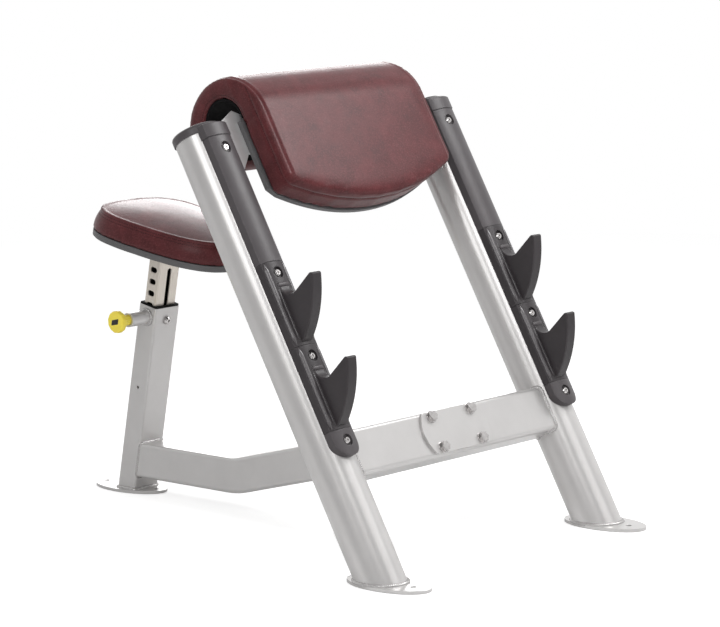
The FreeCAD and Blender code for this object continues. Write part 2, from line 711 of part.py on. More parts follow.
def make_spine():
    """Box tube that runs level from the seat post, bends, and rises to the crossbeam."""
    body = new_body("rear_spine_tube")
    path = new_sketch(body, "YZ_Plane", "spine_path")
    bend_run = "(spine_bend_radius * tan(spine_rise / 2))"
    rise_run = f"({UPRIGHT_FOOT} - spine_bend_place)"
    level_end = (POST_FOOT, "spine_height")
    bend_rear = (f"spine_bend_place + {bend_run}", "spine_height")
    bend_front = (
        f"spine_bend_place - {bend_run} * cos(spine_rise)", f"spine_height + {bend_run} * sin(spine_rise)",
    )
    raised_end = (f"spine_bend_place + {rise_run}", f"spine_height - {rise_run} * tan(spine_rise)")
    spots = [FreeCAD.Vector(size(y), size(z), 0) for y, z in (level_end, bend_rear, bend_front, raised_end)]
    path.addGeometry(Part.LineSegment(spots[0], spots[1]))
    path.addGeometry(arc_between(spots[1], spots[2], size("spine_bend_radius"), -1))
    path.addGeometry(Part.LineSegment(spots[2], spots[3]))
    path.addConstraint(Sketcher.Constraint("Coincident", 0, 2, 1, 2))
    path.addConstraint(Sketcher.Constraint("Coincident", 1, 1, 2, 1))
    bind_point(path, 0, 1, level_end)
    bind_point(path, 0, 2, bend_rear)
    bind_point(path, 2, 1, bend_front)
    bind_point(path, 2, 2, raised_end)
    bind_constraint(path, Sketcher.Constraint("Radius", 1, size("spine_bend_radius")), "spine_bend_radius")
    section = new_sketch(body, "XZ_Plane", "spine_section", f"-{POST_FOOT}")
    low, high = "(spine_height - spine_depth / 2)", "(spine_height + spine_depth / 2)"
    for shrink in ("0", "spine_wall"):
        half_width = f"(spine_width / 2 - {shrink})"
        radius = f"(spine_corner_radius - {shrink})"
        draw_rounded_box(section, half_width, f"({low} + {shrink})", f"({high} - {shrink})", radius)
    doc.recompute()
    pipe = body.newObject("PartDesign::AdditivePipe", "spine_pipe")
    pipe.Profile = section
    pipe.Spine = (path, [f"Edge{number}" for number in (1, 2, 3)])
    pipe.Transition = "Transformed"
    doc.recompute()
    rear = new_sketch(body, "YZ_Plane", "spine_rear_trim")
    reach = "(spine_depth + cut_overrun)"
    top, bottom = f"(spine_height + {reach})", f"(spine_height - {reach})"
    face = f"({POST_FOOT} - post_depth / 2 / cos(post_rake) - {{}} * tan(post_rake) - weld_gap)"
    beyond = f"({POST_FOOT} + {reach})"
    points = [(face.format(top), top), (face.format(bottom), bottom), (beyond, bottom), (beyond, top)]
    draw_outline(rear, points)
    add_pocket(body, rear)
    front = new_sketch(body, "YZ_Plane", "spine_front_trim")
    corners = []
    for climb, stand in ((1, 1), (-1, 1), (-1, -1), (1, -1)):
        up = f"(beam_climb + {climb} * 2 * {reach})"
        out = f"-({PLATE_FACE} + weld_gap)" if stand < 0 else "tube_length"
        y = f"{UPRIGHT_FOOT} + {up} * sin(upright_rake) - ({out}) * cos(upright_rake)"
        corners.append((y, f"{up} * cos(upright_rake) + ({out}) * sin(upright_rake)"))
    draw_outline(front, corners)
    add_pocket(body, front)
    return keep(body)


def make_post():
    """Box-section seat post, level on the rear foot, with holes for the pin, the stop bolt and a vent."""
    body = new_body("seat_post_outer")
    section = new_sketch(body, "XY_Plane", "post_section", "-post_width")
    for shrink in ("0", "post_wall"):
        low, high = f"({shrink} - post_depth / 2)", f"(post_depth / 2 - {shrink})"
        corner = f"(post_corner_radius - {shrink})"
        draw_rounded_box(section, f"(post_width / 2 - {shrink})", low, high, corner)
    add_pad(body, section, "post_length + post_width")
    add_level_foot(body, "post_width", "post_rake")
    side_holes = new_sketch(body, "YZ_Plane", "post_side_holes")
    draw_circle(side_holes, "0", "pin_height", "pin_diameter / 2 + running_gap")
    draw_circle(side_holes, "0", "vent_hole_height", "vent_hole_diameter / 2")
    add_pocket(body, side_holes, "post_width / 2 + cut_overrun")
    front_hole = new_sketch(body, "XZ_Plane", "post_front_hole")
    draw_circle(front_hole, "0", "stop_bolt_height", "stop_bolt_diameter / 2 + running_gap")
    add_pocket(body, front_hole, "post_depth / 2 + cut_overrun", reversed_way=True)
    return keep(place_on_post(body))


def make_post_liner():
    """Plastic sleeve between the post and the sliding tube, with a rim that sits on the post's end."""
    body = new_body("seat_post_liner")
    bore_width = "(slide_width / 2 + running_gap)"
    bore_depth = "(slide_depth / 2 + running_gap)"
    bore_corner = "(slide_corner_radius + running_gap)"
    sleeve = new_sketch(body, "XY_Plane", "liner_sleeve", "post_length - liner_length")
    wide, deep = "(post_width / 2 - post_wall - weld_gap)", "(post_depth / 2 - post_wall - weld_gap)"
    draw_rounded_box(sleeve, wide, f"(-{deep})", deep, "(post_corner_radius - post_wall)")
    draw_rounded_box(sleeve, bore_width, f"(-{bore_depth})", bore_depth, bore_corner)
    add_pad(body, sleeve, "liner_length")
    rim = new_sketch(body, "XY_Plane", "liner_rim", "post_length")
    wide, deep = "(post_width / 2 - liner_rim_inset)", "(post_depth / 2 - liner_rim_inset)"
    draw_rounded_box(rim, wide, f"(-{deep})", deep, "(post_corner_radius - liner_rim_inset)")
    draw_rounded_box(rim, bore_width, f"(-{bore_depth})", bore_depth, bore_corner)
    add_pad(body, rim, "liner_rim_thickness")
    pin_hole = new_sketch(body, "YZ_Plane", "liner_pin_hole")
    draw_circle(pin_hole, "0", "pin_height", "pin_diameter / 2 + running_gap")
    add_pocket(body, pin_hole, "post_width / 2 + cut_overrun")
    bolt_hole = new_sketch(body, "XZ_Plane", "liner_bolt_hole")
    draw_circle(bolt_hole, "0", "stop_bolt_height", "stop_bolt_diameter / 2 + running_gap")
    add_pocket(body, bolt_hole, "post_depth / 2 + cut_overrun", reversed_way=True)
    return keep(place_on_post(body))


def make_slide():
    """Sliding tube: notches for the pin up its side, and a long slot in front for the stop bolt."""
    body = new_body("seat_post_inner")
    section = new_sketch(body, "XY_Plane", "slide_section", "slide_foot")
    for shrink in ("0", "slide_wall"):
        low, high = f"({shrink} - slide_depth / 2)", f"(slide_depth / 2 - {shrink})"
        corner = f"(slide_corner_radius - {shrink})"
        draw_rounded_box(section, f"(slide_width / 2 - {shrink})", low, high, corner)
    add_pad(body, section, "slide_top - slide_foot")
    notch = new_sketch(body, "YZ_Plane", "slide_notch")
    half, run = "(notch_height / 2)", "((notch_length - notch_height) / 2)"
    base = "(pin_height - notch_steps * notch_pitch)"
    points = [
        (f"-{run}", f"{base} - {half}"), (run, f"{base} - {half}"), (f"{run} + {half}", base),
        (run, f"{base} + {half}"), (f"-{run}", f"{base} + {half}"), (f"-{run} - {half}", base),
    ]
    draw_outline(notch, points, {side: (half, 1) for side in (1, 2, 4, 5)})
    cut = add_pocket(body, notch, "slide_width / 2 + cut_overrun")
    row = body.newObject("PartDesign::LinearPattern", "slide_notch_row")
    row.Originals = [cut]
    row.Direction = (notch, ["V_Axis"])
    row.setExpression("Length", sized("2 * notch_steps * notch_pitch"))
    row.setExpression("Occurrences", sized("2 * notch_steps + 1"))
    body.Tip = row
    doc.recompute()
    slot = new_sketch(body, "XZ_Plane", "slide_stop_slot")
    reach = "(notch_steps * notch_pitch + stop_bolt_diameter / 2 + stop_slot_spare)"
    draw_slot(slot, "(stop_slot_width / 2)", f"(stop_bolt_height - {reach})", f"(stop_bolt_height + {reach})")
    add_pocket(body, slot, "slide_depth / 2 + cut_overrun", reversed_way=True)
    return keep(place_on_post(body))


def turned(label, profile, socket=None):
    """Round piece about the Z axis from (radius, height) points, with a hex socket where one is given."""
    body = new_body(label)
    half = new_sketch(body, "XZ_Plane", label + "_half")
    draw_outline(half, profile)
    solid = body.newObject("PartDesign::Revolution", label + "_turning")
    solid.Profile = half
    solid.ReferenceAxis = (half, ["V_Axis"])
    doc.recompute()
    if socket:
        across, floor, depth = socket
        hexagon = new_sketch(body, "XY_Plane", label + "_socket", floor)
        draw_hexagon(hexagon, across)
        add_pocket(body, hexagon, depth, reversed_way=True)
    return body


def draw_hexagon(sketch, across):
    """Hexagon by the width across its flats, with two flats level."""
    corner = f"({across} / sqrt(3))"
    points = [(f"{corner} * cos({60 * turn})", f"{corner} * sin({60 * turn})") for turn in range(6)]
    draw_outline(sketch, points)


def button_profile(shank, length, head, height, shoulder):
    """Half section of a button-head bolt that stands on its shank, with the head's seat at height zero."""
    return [
        ("0", f"-({length})"), (f"{shank} / 2", f"-({length})"), (f"{shank} / 2", "0"), (f"{head} / 2", "0"),
        (f"{head} / 2", f"{height} - {shoulder}"), (f"{head} / 2 - {shoulder}", height), ("0", height),
    ]


def group(label, pattern, spots):
    """Several like solids in one node: copies of a pattern piece, each at its own placement."""
    piece = doc.addObject("Part::Feature", label)
    piece.Label = label
    copies = []
    for spot in spots:
        solid = pattern.Shape.copy()
        solid.Placement = spot
        copies.append(solid)
    piece.Shape = Part.makeCompound(copies)
    return keep(piece)


def rake_spot(x, climb, stand, nose=Y_AXIS * -1):
    """Placement on the rake whose Z axis points along nose, given in the rake frame."""
    frame = FreeCAD.Placement(
        FreeCAD.Vector(0, size(UPRIGHT_FOOT), 0), FreeCAD.Rotation(X_AXIS, -size("upright_rake")),
    )
    spot = FreeCAD.Vector(size(x), -size(stand), size(climb))
    local = FreeCAD.Placement(spot, FreeCAD.Rotation(Z_AXIS, nose))
    return frame.multiply(local)


def post_spot(x, depth, climb, nose):
    """Placement in the post frame whose Z axis points along nose."""
    frame = FreeCAD.Placement(
        FreeCAD.Vector(0, size(POST_FOOT), 0), FreeCAD.Rotation(X_AXIS, size("post_rake")),
    )
    spot = FreeCAD.Vector(size(x), size(depth), size(climb))
    local = FreeCAD.Placement(spot, FreeCAD.Rotation(Z_AXIS, nose))
    return frame.multiply(local)


def make_guard_screws():
    profile = button_profile(
        "screw_diameter", "screw_length", "screw_head_diameter", "screw_head_height", "screw_head_round",
    )
    floor = "screw_head_height - screw_socket_depth"
    socket = ("screw_socket_width", floor, "screw_socket_depth + cut_overrun")
    pattern = turned("guard_screw_pattern", profile, socket)
    spots = []
    for way in SIDES.values():
        for climb in screw_climbs():
            spots.append(rake_spot(f"{way} * {UPRIGHT_PLACE}", climb, PIT_FLOOR))
    group("guard_screws", pattern, spots)


def joint_spots(stand, nose):
    """Placements on the four bolt axes of the crossbeam joint."""
    spots = []
    for across in (-1, 1):
        for along in (-1, 1):
            climb = f"beam_climb + {along} * joint_bolt_along / 2"
            spots.append(rake_spot(f"{across} * joint_bolt_across / 2", climb, stand, nose))
    return spots


def make_joint_bolts():
    """Hex bolts through the crossbeam with their washers in front and nuts behind."""
    front, back = Y_AXIS * -1, Y_AXIS
    through = "(2 * beam_depth / 2 + 2 * plate_thickness + 2 * washer_thickness + joint_nut_height)"
    shank = new_body("crossbeam_bolt_pattern")
    head = new_sketch(shank, "XY_Plane", "joint_bolt_head")
    draw_hexagon(head, "joint_head_width")
    add_pad(shank, head, "joint_head_height")
    rod = new_sketch(shank, "XY_Plane", "joint_bolt_rod")
    draw_circle(rod, "0", "0", "joint_bolt_diameter / 2")
    add_pad(shank, rod, f"{through} + joint_thread_spare", reversed_way=True)
    group("crossbeam_bolts", shank, joint_spots(f"{PLATE_FACE} + washer_thickness", front))

    washer = new_body("crossbeam_washer_pattern")
    ring = new_sketch(washer, "XY_Plane", "joint_washer_ring")
    draw_circle(ring, "0", "0", "washer_diameter / 2")
    draw_circle(ring, "0", "0", "joint_bolt_diameter / 2 + running_gap")
    add_pad(washer, ring, "washer_thickness")
    spots = joint_spots(PLATE_FACE, front) + joint_spots(f"-{PLATE_FACE}", back)
    group("crossbeam_washers", washer, spots)

    nut = new_body("crossbeam_nut_pattern")
    hexagon = new_sketch(nut, "XY_Plane", "joint_nut_hexagon")
    draw_hexagon(hexagon, "joint_head_width")
    draw_circle(hexagon, "0", "0", "joint_bolt_diameter / 2 + weld_gap")
    add_pad(nut, hexagon, "joint_nut_height")
    group("crossbeam_nuts", nut, joint_spots(f"-({PLATE_FACE} + washer_thickness)", back))


def make_stop_bolt():
    """Button-head bolt in the front of the post, whose end runs in the sliding tube's slot."""
    profile = button_profile(
        "stop_bolt_diameter", "stop_bolt_reach", "stop_bolt_head_diameter", "stop_bolt_head_height",
        "stop_bolt_head_round",
    )
    depth = "stop_bolt_socket_depth"
    socket = ("stop_bolt_socket_width", f"stop_bolt_head_height - {depth}", f"{depth} + cut_overrun")
    body = turned("travel_stop_bolt", profile, socket)
    body.Placement = post_spot("0", "-post_depth / 2", "stop_bolt_height", Y_AXIS * -1)
    return keep(body)


def make_pin_barrel():
    """Round housing welded to the side of the post, open at its outer end for the knob's neck."""
    floor, end = "barrel_floor", "barrel_length"
    rod, bore, skin = "(pin_diameter / 2 + running_gap)", "(barrel_bore / 2)", "(barrel_diameter / 2)"
    profile = [(rod, "0"), (skin, "0"), (skin, end), (bore, end), (bore, floor), (rod, floor)]
    body = turned("pull_pin_barrel", profile)
    body.Placement = post_spot("-(post_width / 2)", "0", "pin_height", X_AXIS * -1)
    return keep(body)


def make_pin_plunger():
    """Plunger whose nose enters a notch, with the collar that the spring pushes on."""
    barrel_end = "(post_width / 2 + barrel_length)"
    tail = f"({barrel_end} - knob_neck_sunk)"
    rod, collar = "(pin_diameter / 2)", "(barrel_bore / 2 - running_gap)"
    nose_taper = "(pin_diameter / 6)"
    ledge = "(post_width / 2 + barrel_floor + pin_stroke_in + running_gap)"
    tip = NOSE_PLACE
    profile = [
        ("0", tip), (f"{rod} - {nose_taper}", tip), (rod, f"{tip} + {nose_taper}"), (rod, ledge),
        (collar, ledge), (collar, f"{ledge} + barrel_floor / 2"), (rod, f"{ledge} + barrel_floor / 2"),
        (rod, tail), ("0", tail),
    ]
    body = turned("pull_pin_plunger", profile)
    body.Placement = post_spot("0", "0", "pin_height", X_AXIS * -1)
    return keep(body)


def make_pin_knob():
    """Round pull knob on a neck that enters the barrel."""
    start = "(post_width / 2 + barrel_length - knob_neck_sunk)"
    neck, wide = "(knob_neck_diameter / 2)", "(knob_diameter / 2)"
    face = f"({start} + knob_neck_length)"
    end = f"({face} + knob_thickness)"
    profile = [
        ("0", start), (neck, start), (neck, f"{face} - knob_round"), (f"{wide} - knob_round", face),
        (wide, f"{face} + knob_round / 2"), (wide, f"{end} - knob_round"),
        (f"{wide} - knob_round", end), ("0", end),
    ]
    body = turned("pull_pin_knob", profile)
    body.Placement = post_spot("0", "0", "pin_height", X_AXIS * -1)
    return keep(body)


def make_pin_spring():
    """Coil spring in the barrel, shown as a plain sleeve that leaves room for the stroke at both ends."""
    collar_end = "(post_width / 2 + barrel_floor + pin_stroke_in + running_gap + barrel_floor / 2)"
    neck_start = "(post_width / 2 + barrel_length - knob_neck_sunk)"
    outer = "(barrel_bore / 2 - running_gap)"
    inner = f"({outer} - spring_wire)"
    low = f"{collar_end} + pin_stroke_out + running_gap"
    high = f"{neck_start} - pin_stroke_in - running_gap"
    body = turned("pull_pin_spring", [(inner, low), (outer, low), (outer, high), (inner, high)])
    body.Placement = post_spot("0", "0", "pin_height", X_AXIS * -1)
    return keep(body)


def seat_outline(inset, height):
    """Closed wire of arcs round the seat's plan, a superellipse that widens towards the rear."""
    length = size("seat_length / 2") - inset
    power = 2 / size("seat_corner_power")
    count = 32
    spots = []
    for number in range(count):
        turn = 2 * math.pi * number / count
        along = math.copysign(abs(math.sin(turn)) ** power, math.sin(turn))
        across = math.copysign(abs(math.cos(turn)) ** power, math.cos(turn))
        half = size("seat_half_width") + size("seat_flare") * along - inset
        spots.append(FreeCAD.Vector(half * across, length * along - size("seat_centre"), height))
    arcs = []
    for number in range(0, count, 2):
        trio = (spots[number], spots[number + 1], spots[(number + 2) % count])
        arcs.append(Part.Arc(*trio).toShape())
    return Part.Wire(arcs)


def loft_piece(label, wires):
    piece = doc.addObject("Part::Feature", label)
    piece.Label = label
    piece.Shape = Part.makeLoft(wires, True, True)
    return piece


def make_seat_base():
    """Seat pan with a chamfered lower edge and a recess for the mounting plate."""
    low, high = size("slide_top"), size(SEAT_TOP)
    inset = size("seat_base_inset")
    wires = [
        seat_outline(inset + inset, low), seat_outline(inset, low + inset),
        seat_outline(inset, high - inset / 2), seat_outline(inset + inset / 2, high),
    ]
    slab = loft_piece("seat_base_slab", wires)
    recess = doc.addObject("Part::Box", "seat_base_recess")
    recess.setExpression("Length", sized("seat_plate_width + 2 * running_gap"))
    recess.setExpression("Width", sized("seat_plate_length + 2 * running_gap"))
    recess.setExpression("Height", sized("seat_plate_thickness + cut_overrun"))
    recess.setExpression("Placement.Base.x", sized("-(seat_plate_width / 2 + running_gap)"))
    recess.setExpression("Placement.Base.y", sized("-(seat_plate_length / 2 + running_gap)"))
    recess.setExpression("Placement.Base.z", sized("slide_top - cut_overrun"))
    cut = doc.addObject("Part::Cut", "seat_base_pan")
    cut.Base = slab
    cut.Tool = recess
    drill = doc.addObject("Part::Feature", "seat_base_drill")
    holes = []
    for x, y in seat_bolt_spots():
        base = FreeCAD.Vector(x, y, size("slide_top"))
        radius = size("seat_bolt_diameter / 2 + running_gap")
        holes.append(Part.makeCylinder(radius, size("seat_bolt_length"), base))
    drill.Shape = Part.makeCompound(holes)
    drilled = doc.addObject("Part::Cut", "seat_base")
    drilled.Base = cut
    drilled.Tool = drill
    drilled.Label = "seat_base"
    return keep(place_on_post(drilled))


def seat_bolt_spots():
    """Places of the four seat bolts in the post frame."""
    across, along = size("seat_bolt_across / 2"), size("seat_bolt_along / 2")
    return [(x * across, y * along) for x in (-1, 1) for y in (-1, 1)]


def make_seat_plate():
    """Steel plate welded on the sliding tube, let into the seat pan."""
    body = new_body("seat_mount_plate")
    face = new_sketch(body, "XY_Plane", "seat_plate_face", "slide_top")
    half, deep = "(seat_plate_width / 2)", "(seat_plate_length / 2)"
    draw_rounded_box(face, half, f"(-{deep})", deep, "seat_plate_corner")
    for across in (-1, 1):
        for along in (-1, 1):
            spot = (f"{across} * seat_bolt_across / 2", f"{along} * seat_bolt_along / 2")
            draw_circle(face, *spot, "seat_bolt_diameter / 2 + running_gap")
    add_pad(body, face, "seat_plate_thickness")
    return keep(place_on_post(body))


def make_seat_bolts():
    """Four bolts up through the mounting plate into the seat pan."""
    round_size = "(seat_bolt_head_height / 3)"
    profile = button_profile(
        "seat_bolt_diameter", "seat_bolt_length",
        "seat_bolt_head_diameter", "seat_bolt_head_height", round_size,
    )
    pattern = turned("seat_bolt_pattern", profile)
    spots = [post_spot(str(x), str(y), "slide_top", Z_AXIS * -1) for x, y in seat_bolt_spots()]
    group("seat_bolts", pattern, spots)


def make_seat_cushion():
    """Crowned cushion: sides that swell low down and draw in to a ridge under a domed top."""
    rise_shares = (0, 0.16, 0.5, 0.8, 1)
    inset_shares = (0.25, 0, 0.22, 0.62, 1)
    dome_rise_shares = (0.5, 0.82, 1)
    dome_inset_shares = (0.16, 0.36, 0.62)
    floor = size(SEAT_TOP) + size("running_gap")
    edge, ridge = size("cushion_edge_height"), size("cushion_ridge_inset")
    wires = [
        seat_outline(ridge * inset, floor + edge * rise) for rise, inset in zip(rise_shares, inset_shares)
    ]
    span = size("seat_half_width") - ridge
    for rise, inset in zip(dome_rise_shares, dome_inset_shares):
        wires.append(seat_outline(ridge + span * inset, floor + edge + size("cushion_crown") * rise))
    return keep(place_on_post(loft_piece("seat_cushion", wires)))


def on_rake(x, climb, stand):
    """Point of the row frame from a place across, up the rake and out from it."""
    rake = math.radians(size("upright_rake"))
    y = size(UPRIGHT_FOOT) + climb * math.sin(rake) - stand * math.cos(rake)
    return FreeCAD.Vector(x, y, climb * math.cos(rake) + stand * math.sin(rake))


def swung(centre, radius, angle):
    """Point at an angle round a centre, measured from +Y towards +Z."""
    return centre + FreeCAD.Vector(0, radius * math.cos(angle), radius * math.sin(angle))


def pad_section(x):
    """Closed wire of the arm pad's foam at one place across: sloping face, roll and hanging lip."""
    half = size("pad_half_width")
    round_size, corner = size("pad_edge_round"), size("pad_corner_radius")
    near_edge = max(abs(x) - (half - round_size), 0)
    inset = round_size - math.sqrt(max(round_size ** 2 - near_edge ** 2, 0))
    inset -= size("pad_crown") * (1 - (x / half) ** 2)
    near_corner = max(abs(x) - (half - corner), 0)
    lift = corner - math.sqrt(max(corner ** 2 - near_corner ** 2, 0)) + max(inset, 0) / 2
    rake = math.radians(size("upright_rake"))
    roll_stand = size("pad_front_stand - roll_radius")
    roll = on_rake(x, size("roll_climb"), roll_stand)
    outer = size("roll_radius") - inset
    bore = roll + FreeCAD.Vector(0, size("bore_shift_back"), size("bore_shift_up"))
    inner = size("bore_radius") + max(inset, 0) * size("bore_round_share")
    facing = math.pi - rake
    back = size("pad_back_stand")
    bore_stand = (bore.y - size(UPRIGHT_FOOT)) * -math.cos(rake) + bore.z * math.sin(rake)
    meet = facing + math.acos((back - bore_stand) / inner) if inner > back - bore_stand else facing
    back_foot = size("pad_back_foot") + x * x / size("2 * pad_back_arch_radius") + lift
    seam_foot = size("pad_seam_foot") + x * x / size("pad_back_arch_radius + pad_front_arch_radius") + lift
    front_foot = size("pad_front_foot") + x * x / size("2 * pad_front_arch_radius") + lift
    front = size("pad_front_stand") - inset
    belly_share = 0.3
    seam = size("pad_seam_stand")
    belly_climb = seam_foot + (front_foot - seam_foot) * belly_share
    belly = on_rake(x, belly_climb, seam + (front - seam) * (1 - belly_share))
    lip_out, lip_in = roll.y + outer, bore.y + inner
    lip_half = (lip_out - lip_in) / 2
    lip_foot = roll.z - size("lip_drop") + max(inset, 0)
    lip_turn = FreeCAD.Vector(x, lip_in + lip_half, lip_foot + lip_half)
    diagonal = math.radians(45)
    face_foot = on_rake(x, front_foot, front)
    face_top = swung(roll, outer, facing)
    crest = swung(roll, outer, facing / 2)
    lip_top = swung(roll, outer, 0)
    lip_low = swung(lip_turn, lip_half, 0)
    lip_toe = swung(lip_turn, lip_half, -2 * diagonal)
    lip_heel = swung(lip_turn, lip_half, -4 * diagonal)
    bore_low = swung(bore, inner, 0)
    bore_crest = swung(bore, inner, meet / 2)
    bore_end = swung(bore, inner, meet)
    back_low = on_rake(x, back_foot, back)
    seam_low = on_rake(x, seam_foot, seam)
    edges = [
        Part.LineSegment(face_foot, face_top),
        Part.Arc(face_top, swung(roll, outer, 0.75 * facing), crest),
        Part.Arc(crest, swung(roll, outer, 0.25 * facing), lip_top),
        Part.LineSegment(lip_top, lip_low),
        Part.Arc(lip_low, swung(lip_turn, lip_half, -diagonal), lip_toe),
        Part.Arc(lip_toe, swung(lip_turn, lip_half, -3 * diagonal), lip_heel),
        Part.LineSegment(lip_heel, bore_low),
        Part.Arc(bore_low, swung(bore, inner, 0.25 * meet), bore_crest),
        Part.Arc(bore_crest, swung(bore, inner, 0.75 * meet), bore_end),
        Part.LineSegment(bore_end, back_low),
        Part.LineSegment(back_low, seam_low),
        Part.LineSegment(seam_low, belly),
        Part.LineSegment(belly, face_foot),
    ]
    return Part.Wire([edge.toShape() for edge in edges])


def make_curl_pad():
    """Foam of the arm pad, lofted across the bench with rounded ends."""
    half, round_size = size("pad_half_width"), size("pad_edge_round")
    middle_shares = (0, 0.25, 0.5, 0.75)
    end_shares = (0, 0.5, 0.8, 0.96)
    across = [share * (half - round_size) for share in middle_shares]
    across += [half - round_size + share * round_size for share in end_shares]
    places = [-x for x in reversed(across) if x > 0] + across
    return keep(loft_piece("curl_pad", [pad_section(x) for x in places]))


def make_pad_shell():
    """Moulded shell behind the foam, arched along its lower edge."""
    body = new_body("pad_shell")
    face = new_sketch(body, "XZ_Plane", "pad_shell_face", SHELL_BACK)
    wide, corner = "shell_half_width", "shell_corner_radius"
    arch = "pad_back_arch_radius"
    run = f"({wide} - {corner})"
    foot = f"(shell_foot + {arch} - sqrt({arch} ^ 2 - {run} ^ 2))"
    points = [
        (f"-{run}", foot), ("0", "shell_foot"), (run, foot),
        (wide, f"{foot} + {corner}"), (wide, "shell_top"),
        (f"-{wide}", "shell_top"), (f"-{wide}", f"{foot} + {corner}"),
    ]
    draw_outline(face, points, {0: (arch, 1), 1: (arch, 1)})
    for across in (-1, 1):
        for along in (-1, 1):
            climb = f"pad_bolt_climb + {along} * pad_bolt_pitch / 2"
            draw_circle(face, f"{across} * pad_bolt_place", climb, "pad_bolt_diameter / 2 + running_gap")
    add_pad(body, face, "shell_thickness")
    return keep(place_on_rake(body))


def make_roll_liner():
    """Dark lining of the roll's open bore, hooked at the shell and hanging down inside the lip."""
    body = new_body("roll_liner")
    hook = new_sketch(body, "YZ_Plane", "roll_liner_hook")
    outer = "(bore_radius - running_gap)"
    inner = f"({outer} - liner_thickness)"
    turn = "(180 - upright_rake + liner_end_turn)"
    low = "(bore_shift_up + lip_drop - liner_hem)"
    points = [(outer, f"-{low}"), (outer, "0")]
    points += [(f"{outer} * cos({turn} / 2)", f"{outer} * sin({turn} / 2)")]
    points += [(f"{outer} * cos({turn})", f"{outer} * sin({turn})")]
    points += [(f"{inner} * cos({turn})", f"{inner} * sin({turn})")]
    points += [(f"{inner} * cos({turn} / 2)", f"{inner} * sin({turn} / 2)")]
    points += [(inner, "0"), (inner, f"-{low}")]
    draw_outline(hook, points, {1: (outer, 1), 2: (outer, 1), 4: (inner, -1), 5: (inner, -1)})
    add_pad(body, hook, "2 * (pad_half_width - pad_edge_round / 2)", middle=True)
    stand = "(pad_front_stand - roll_radius)"
    y = f"{UPRIGHT_FOOT} + roll_climb * sin(upright_rake) - {stand} * cos(upright_rake) + bore_shift_back"
    z = f"roll_climb * cos(upright_rake) + {stand} * sin(upright_rake) + bore_shift_up"
    return keep(place(body, y=y, z=z))


def make_bracket(side):
    """Flat plate welded to the inner side of an upright and bolted behind the shell."""
    way = SIDES[side]
    body = new_body(f"{side}_pad_bracket")
    strip = new_sketch(body, "XY_Plane", "bracket_strip", "bracket_root_foot")
    seat = f"({SHELL_BACK} - bracket_thickness)"
    edge = f"({UPRIGHT_PLACE} - sqrt(({TUBE_RADIUS} + weld_gap) ^ 2 - {{}} ^ 2))"
    points = [
        (edge.format(seat), seat), (edge.format(SHELL_BACK), SHELL_BACK), ("bracket_tip", SHELL_BACK),
        ("bracket_tip", seat),
    ]
    draw_outline(strip, [(f"{way} * {x}", f"-{stand}") for x, stand in points])
    add_pad(body, strip, "bracket_top - bracket_root_foot")
    trim = new_sketch(body, "XZ_Plane", "bracket_trim")
    out = "upright_spacing"
    low_cut = [
        ("bracket_tip - cut_overrun", "bracket_foot"), ("bracket_corner_place", "bracket_foot"),
        (UPRIGHT_PLACE, "bracket_root_foot"), (out, "bracket_root_foot - cut_overrun"),
        ("bracket_tip - cut_overrun", "bracket_root_foot - cut_overrun"),
    ]
    high_cut = [
        (out, "bracket_root_top"), ("bracket_shoulder_place", "bracket_root_top"),
        ("bracket_corner_place", "bracket_top"), ("bracket_tip - cut_overrun", "bracket_tip_top"),
        ("bracket_tip - cut_overrun", "bracket_top + cut_overrun"), (out, "bracket_top + cut_overrun"),
    ]
    for corners in (low_cut, high_cut):
        draw_outline(trim, [(f"{way} * ({x})", z) for x, z in corners])
    for along in (-1, 1):
        climb = f"pad_bolt_climb + {along} * pad_bolt_pitch / 2"
        draw_circle(trim, f"{way} * pad_bolt_place", climb, "pad_bolt_diameter / 2 + running_gap")
    add_pocket(body, trim)
    relief = new_sketch(body, "XY_Plane", "bracket_cap_relief", "cap_skirt_foot - running_gap")
    draw_circle(relief, f"{way} * {UPRIGHT_PLACE}", "0", "cap_diameter / 2 + running_gap")
    add_pocket(body, relief, "bracket_top - cap_skirt_foot + cut_overrun", reversed_way=True)
    return keep(place_on_rake(body))


def make_pad_bolts():
    """Four bolts through the brackets into the shell."""
    length = "(bracket_thickness + pad_bolt_bite)"
    profile = button_profile(
        "pad_bolt_diameter", length,
        "pad_bolt_head_diameter", "pad_bolt_head_height", "(pad_bolt_head_height / 3)",
    )
    pattern = turned("pad_bolt_pattern", profile)
    spots = []
    for way in SIDES.values():
        for along in (-1, 1):
            climb = f"pad_bolt_climb + {along} * pad_bolt_pitch / 2"
            stand = f"{SHELL_BACK} - bracket_thickness"
            spots.append(rake_spot(f"{way} * pad_bolt_place", climb, stand, Y_AXIS))
    group("pad_bolts", pattern, spots)


def make_all():
    make_feet()
    for side in SIDES:
        make_upright(side)
        make_guard(side)
        make_catch(side, "lower", 0)
        make_catch(side, "upper", 1)
        make_guard_end(side)
        make_cap(side)
        make_bracket(side)
    make_guard_screws()
    make_beam()
    make_bolt_plate()
    make_spine_plate()
    make_joint_bolts()
    make_spine()
    make_post()
    make_post_liner()
    make_stop_bolt()
    make_slide()
    make_pin_barrel()
    make_pin_plunger()
    make_pin_knob()
    make_pin_spring()
    make_seat_plate()
    make_seat_base()
    make_seat_bolts()
    make_seat_cushion()
    make_curl_pad()
    make_pad_shell()
    make_roll_liner()
    make_pad_bolts()


def check_document():
    """Stop before anything is written if a feature failed or a shape is empty or broken."""
    for item in doc.Objects:
        if "Invalid" in item.State or "Error" in item.State:
            raise RuntimeError(f"{item.Label} failed: {item.State}")
    for piece in PARTS:
        if piece.Shape.isNull() or not piece.Shape.isValid() or not piece.Shape.Solids:
            raise RuntimeError(f"{piece.Label} has no valid solid")


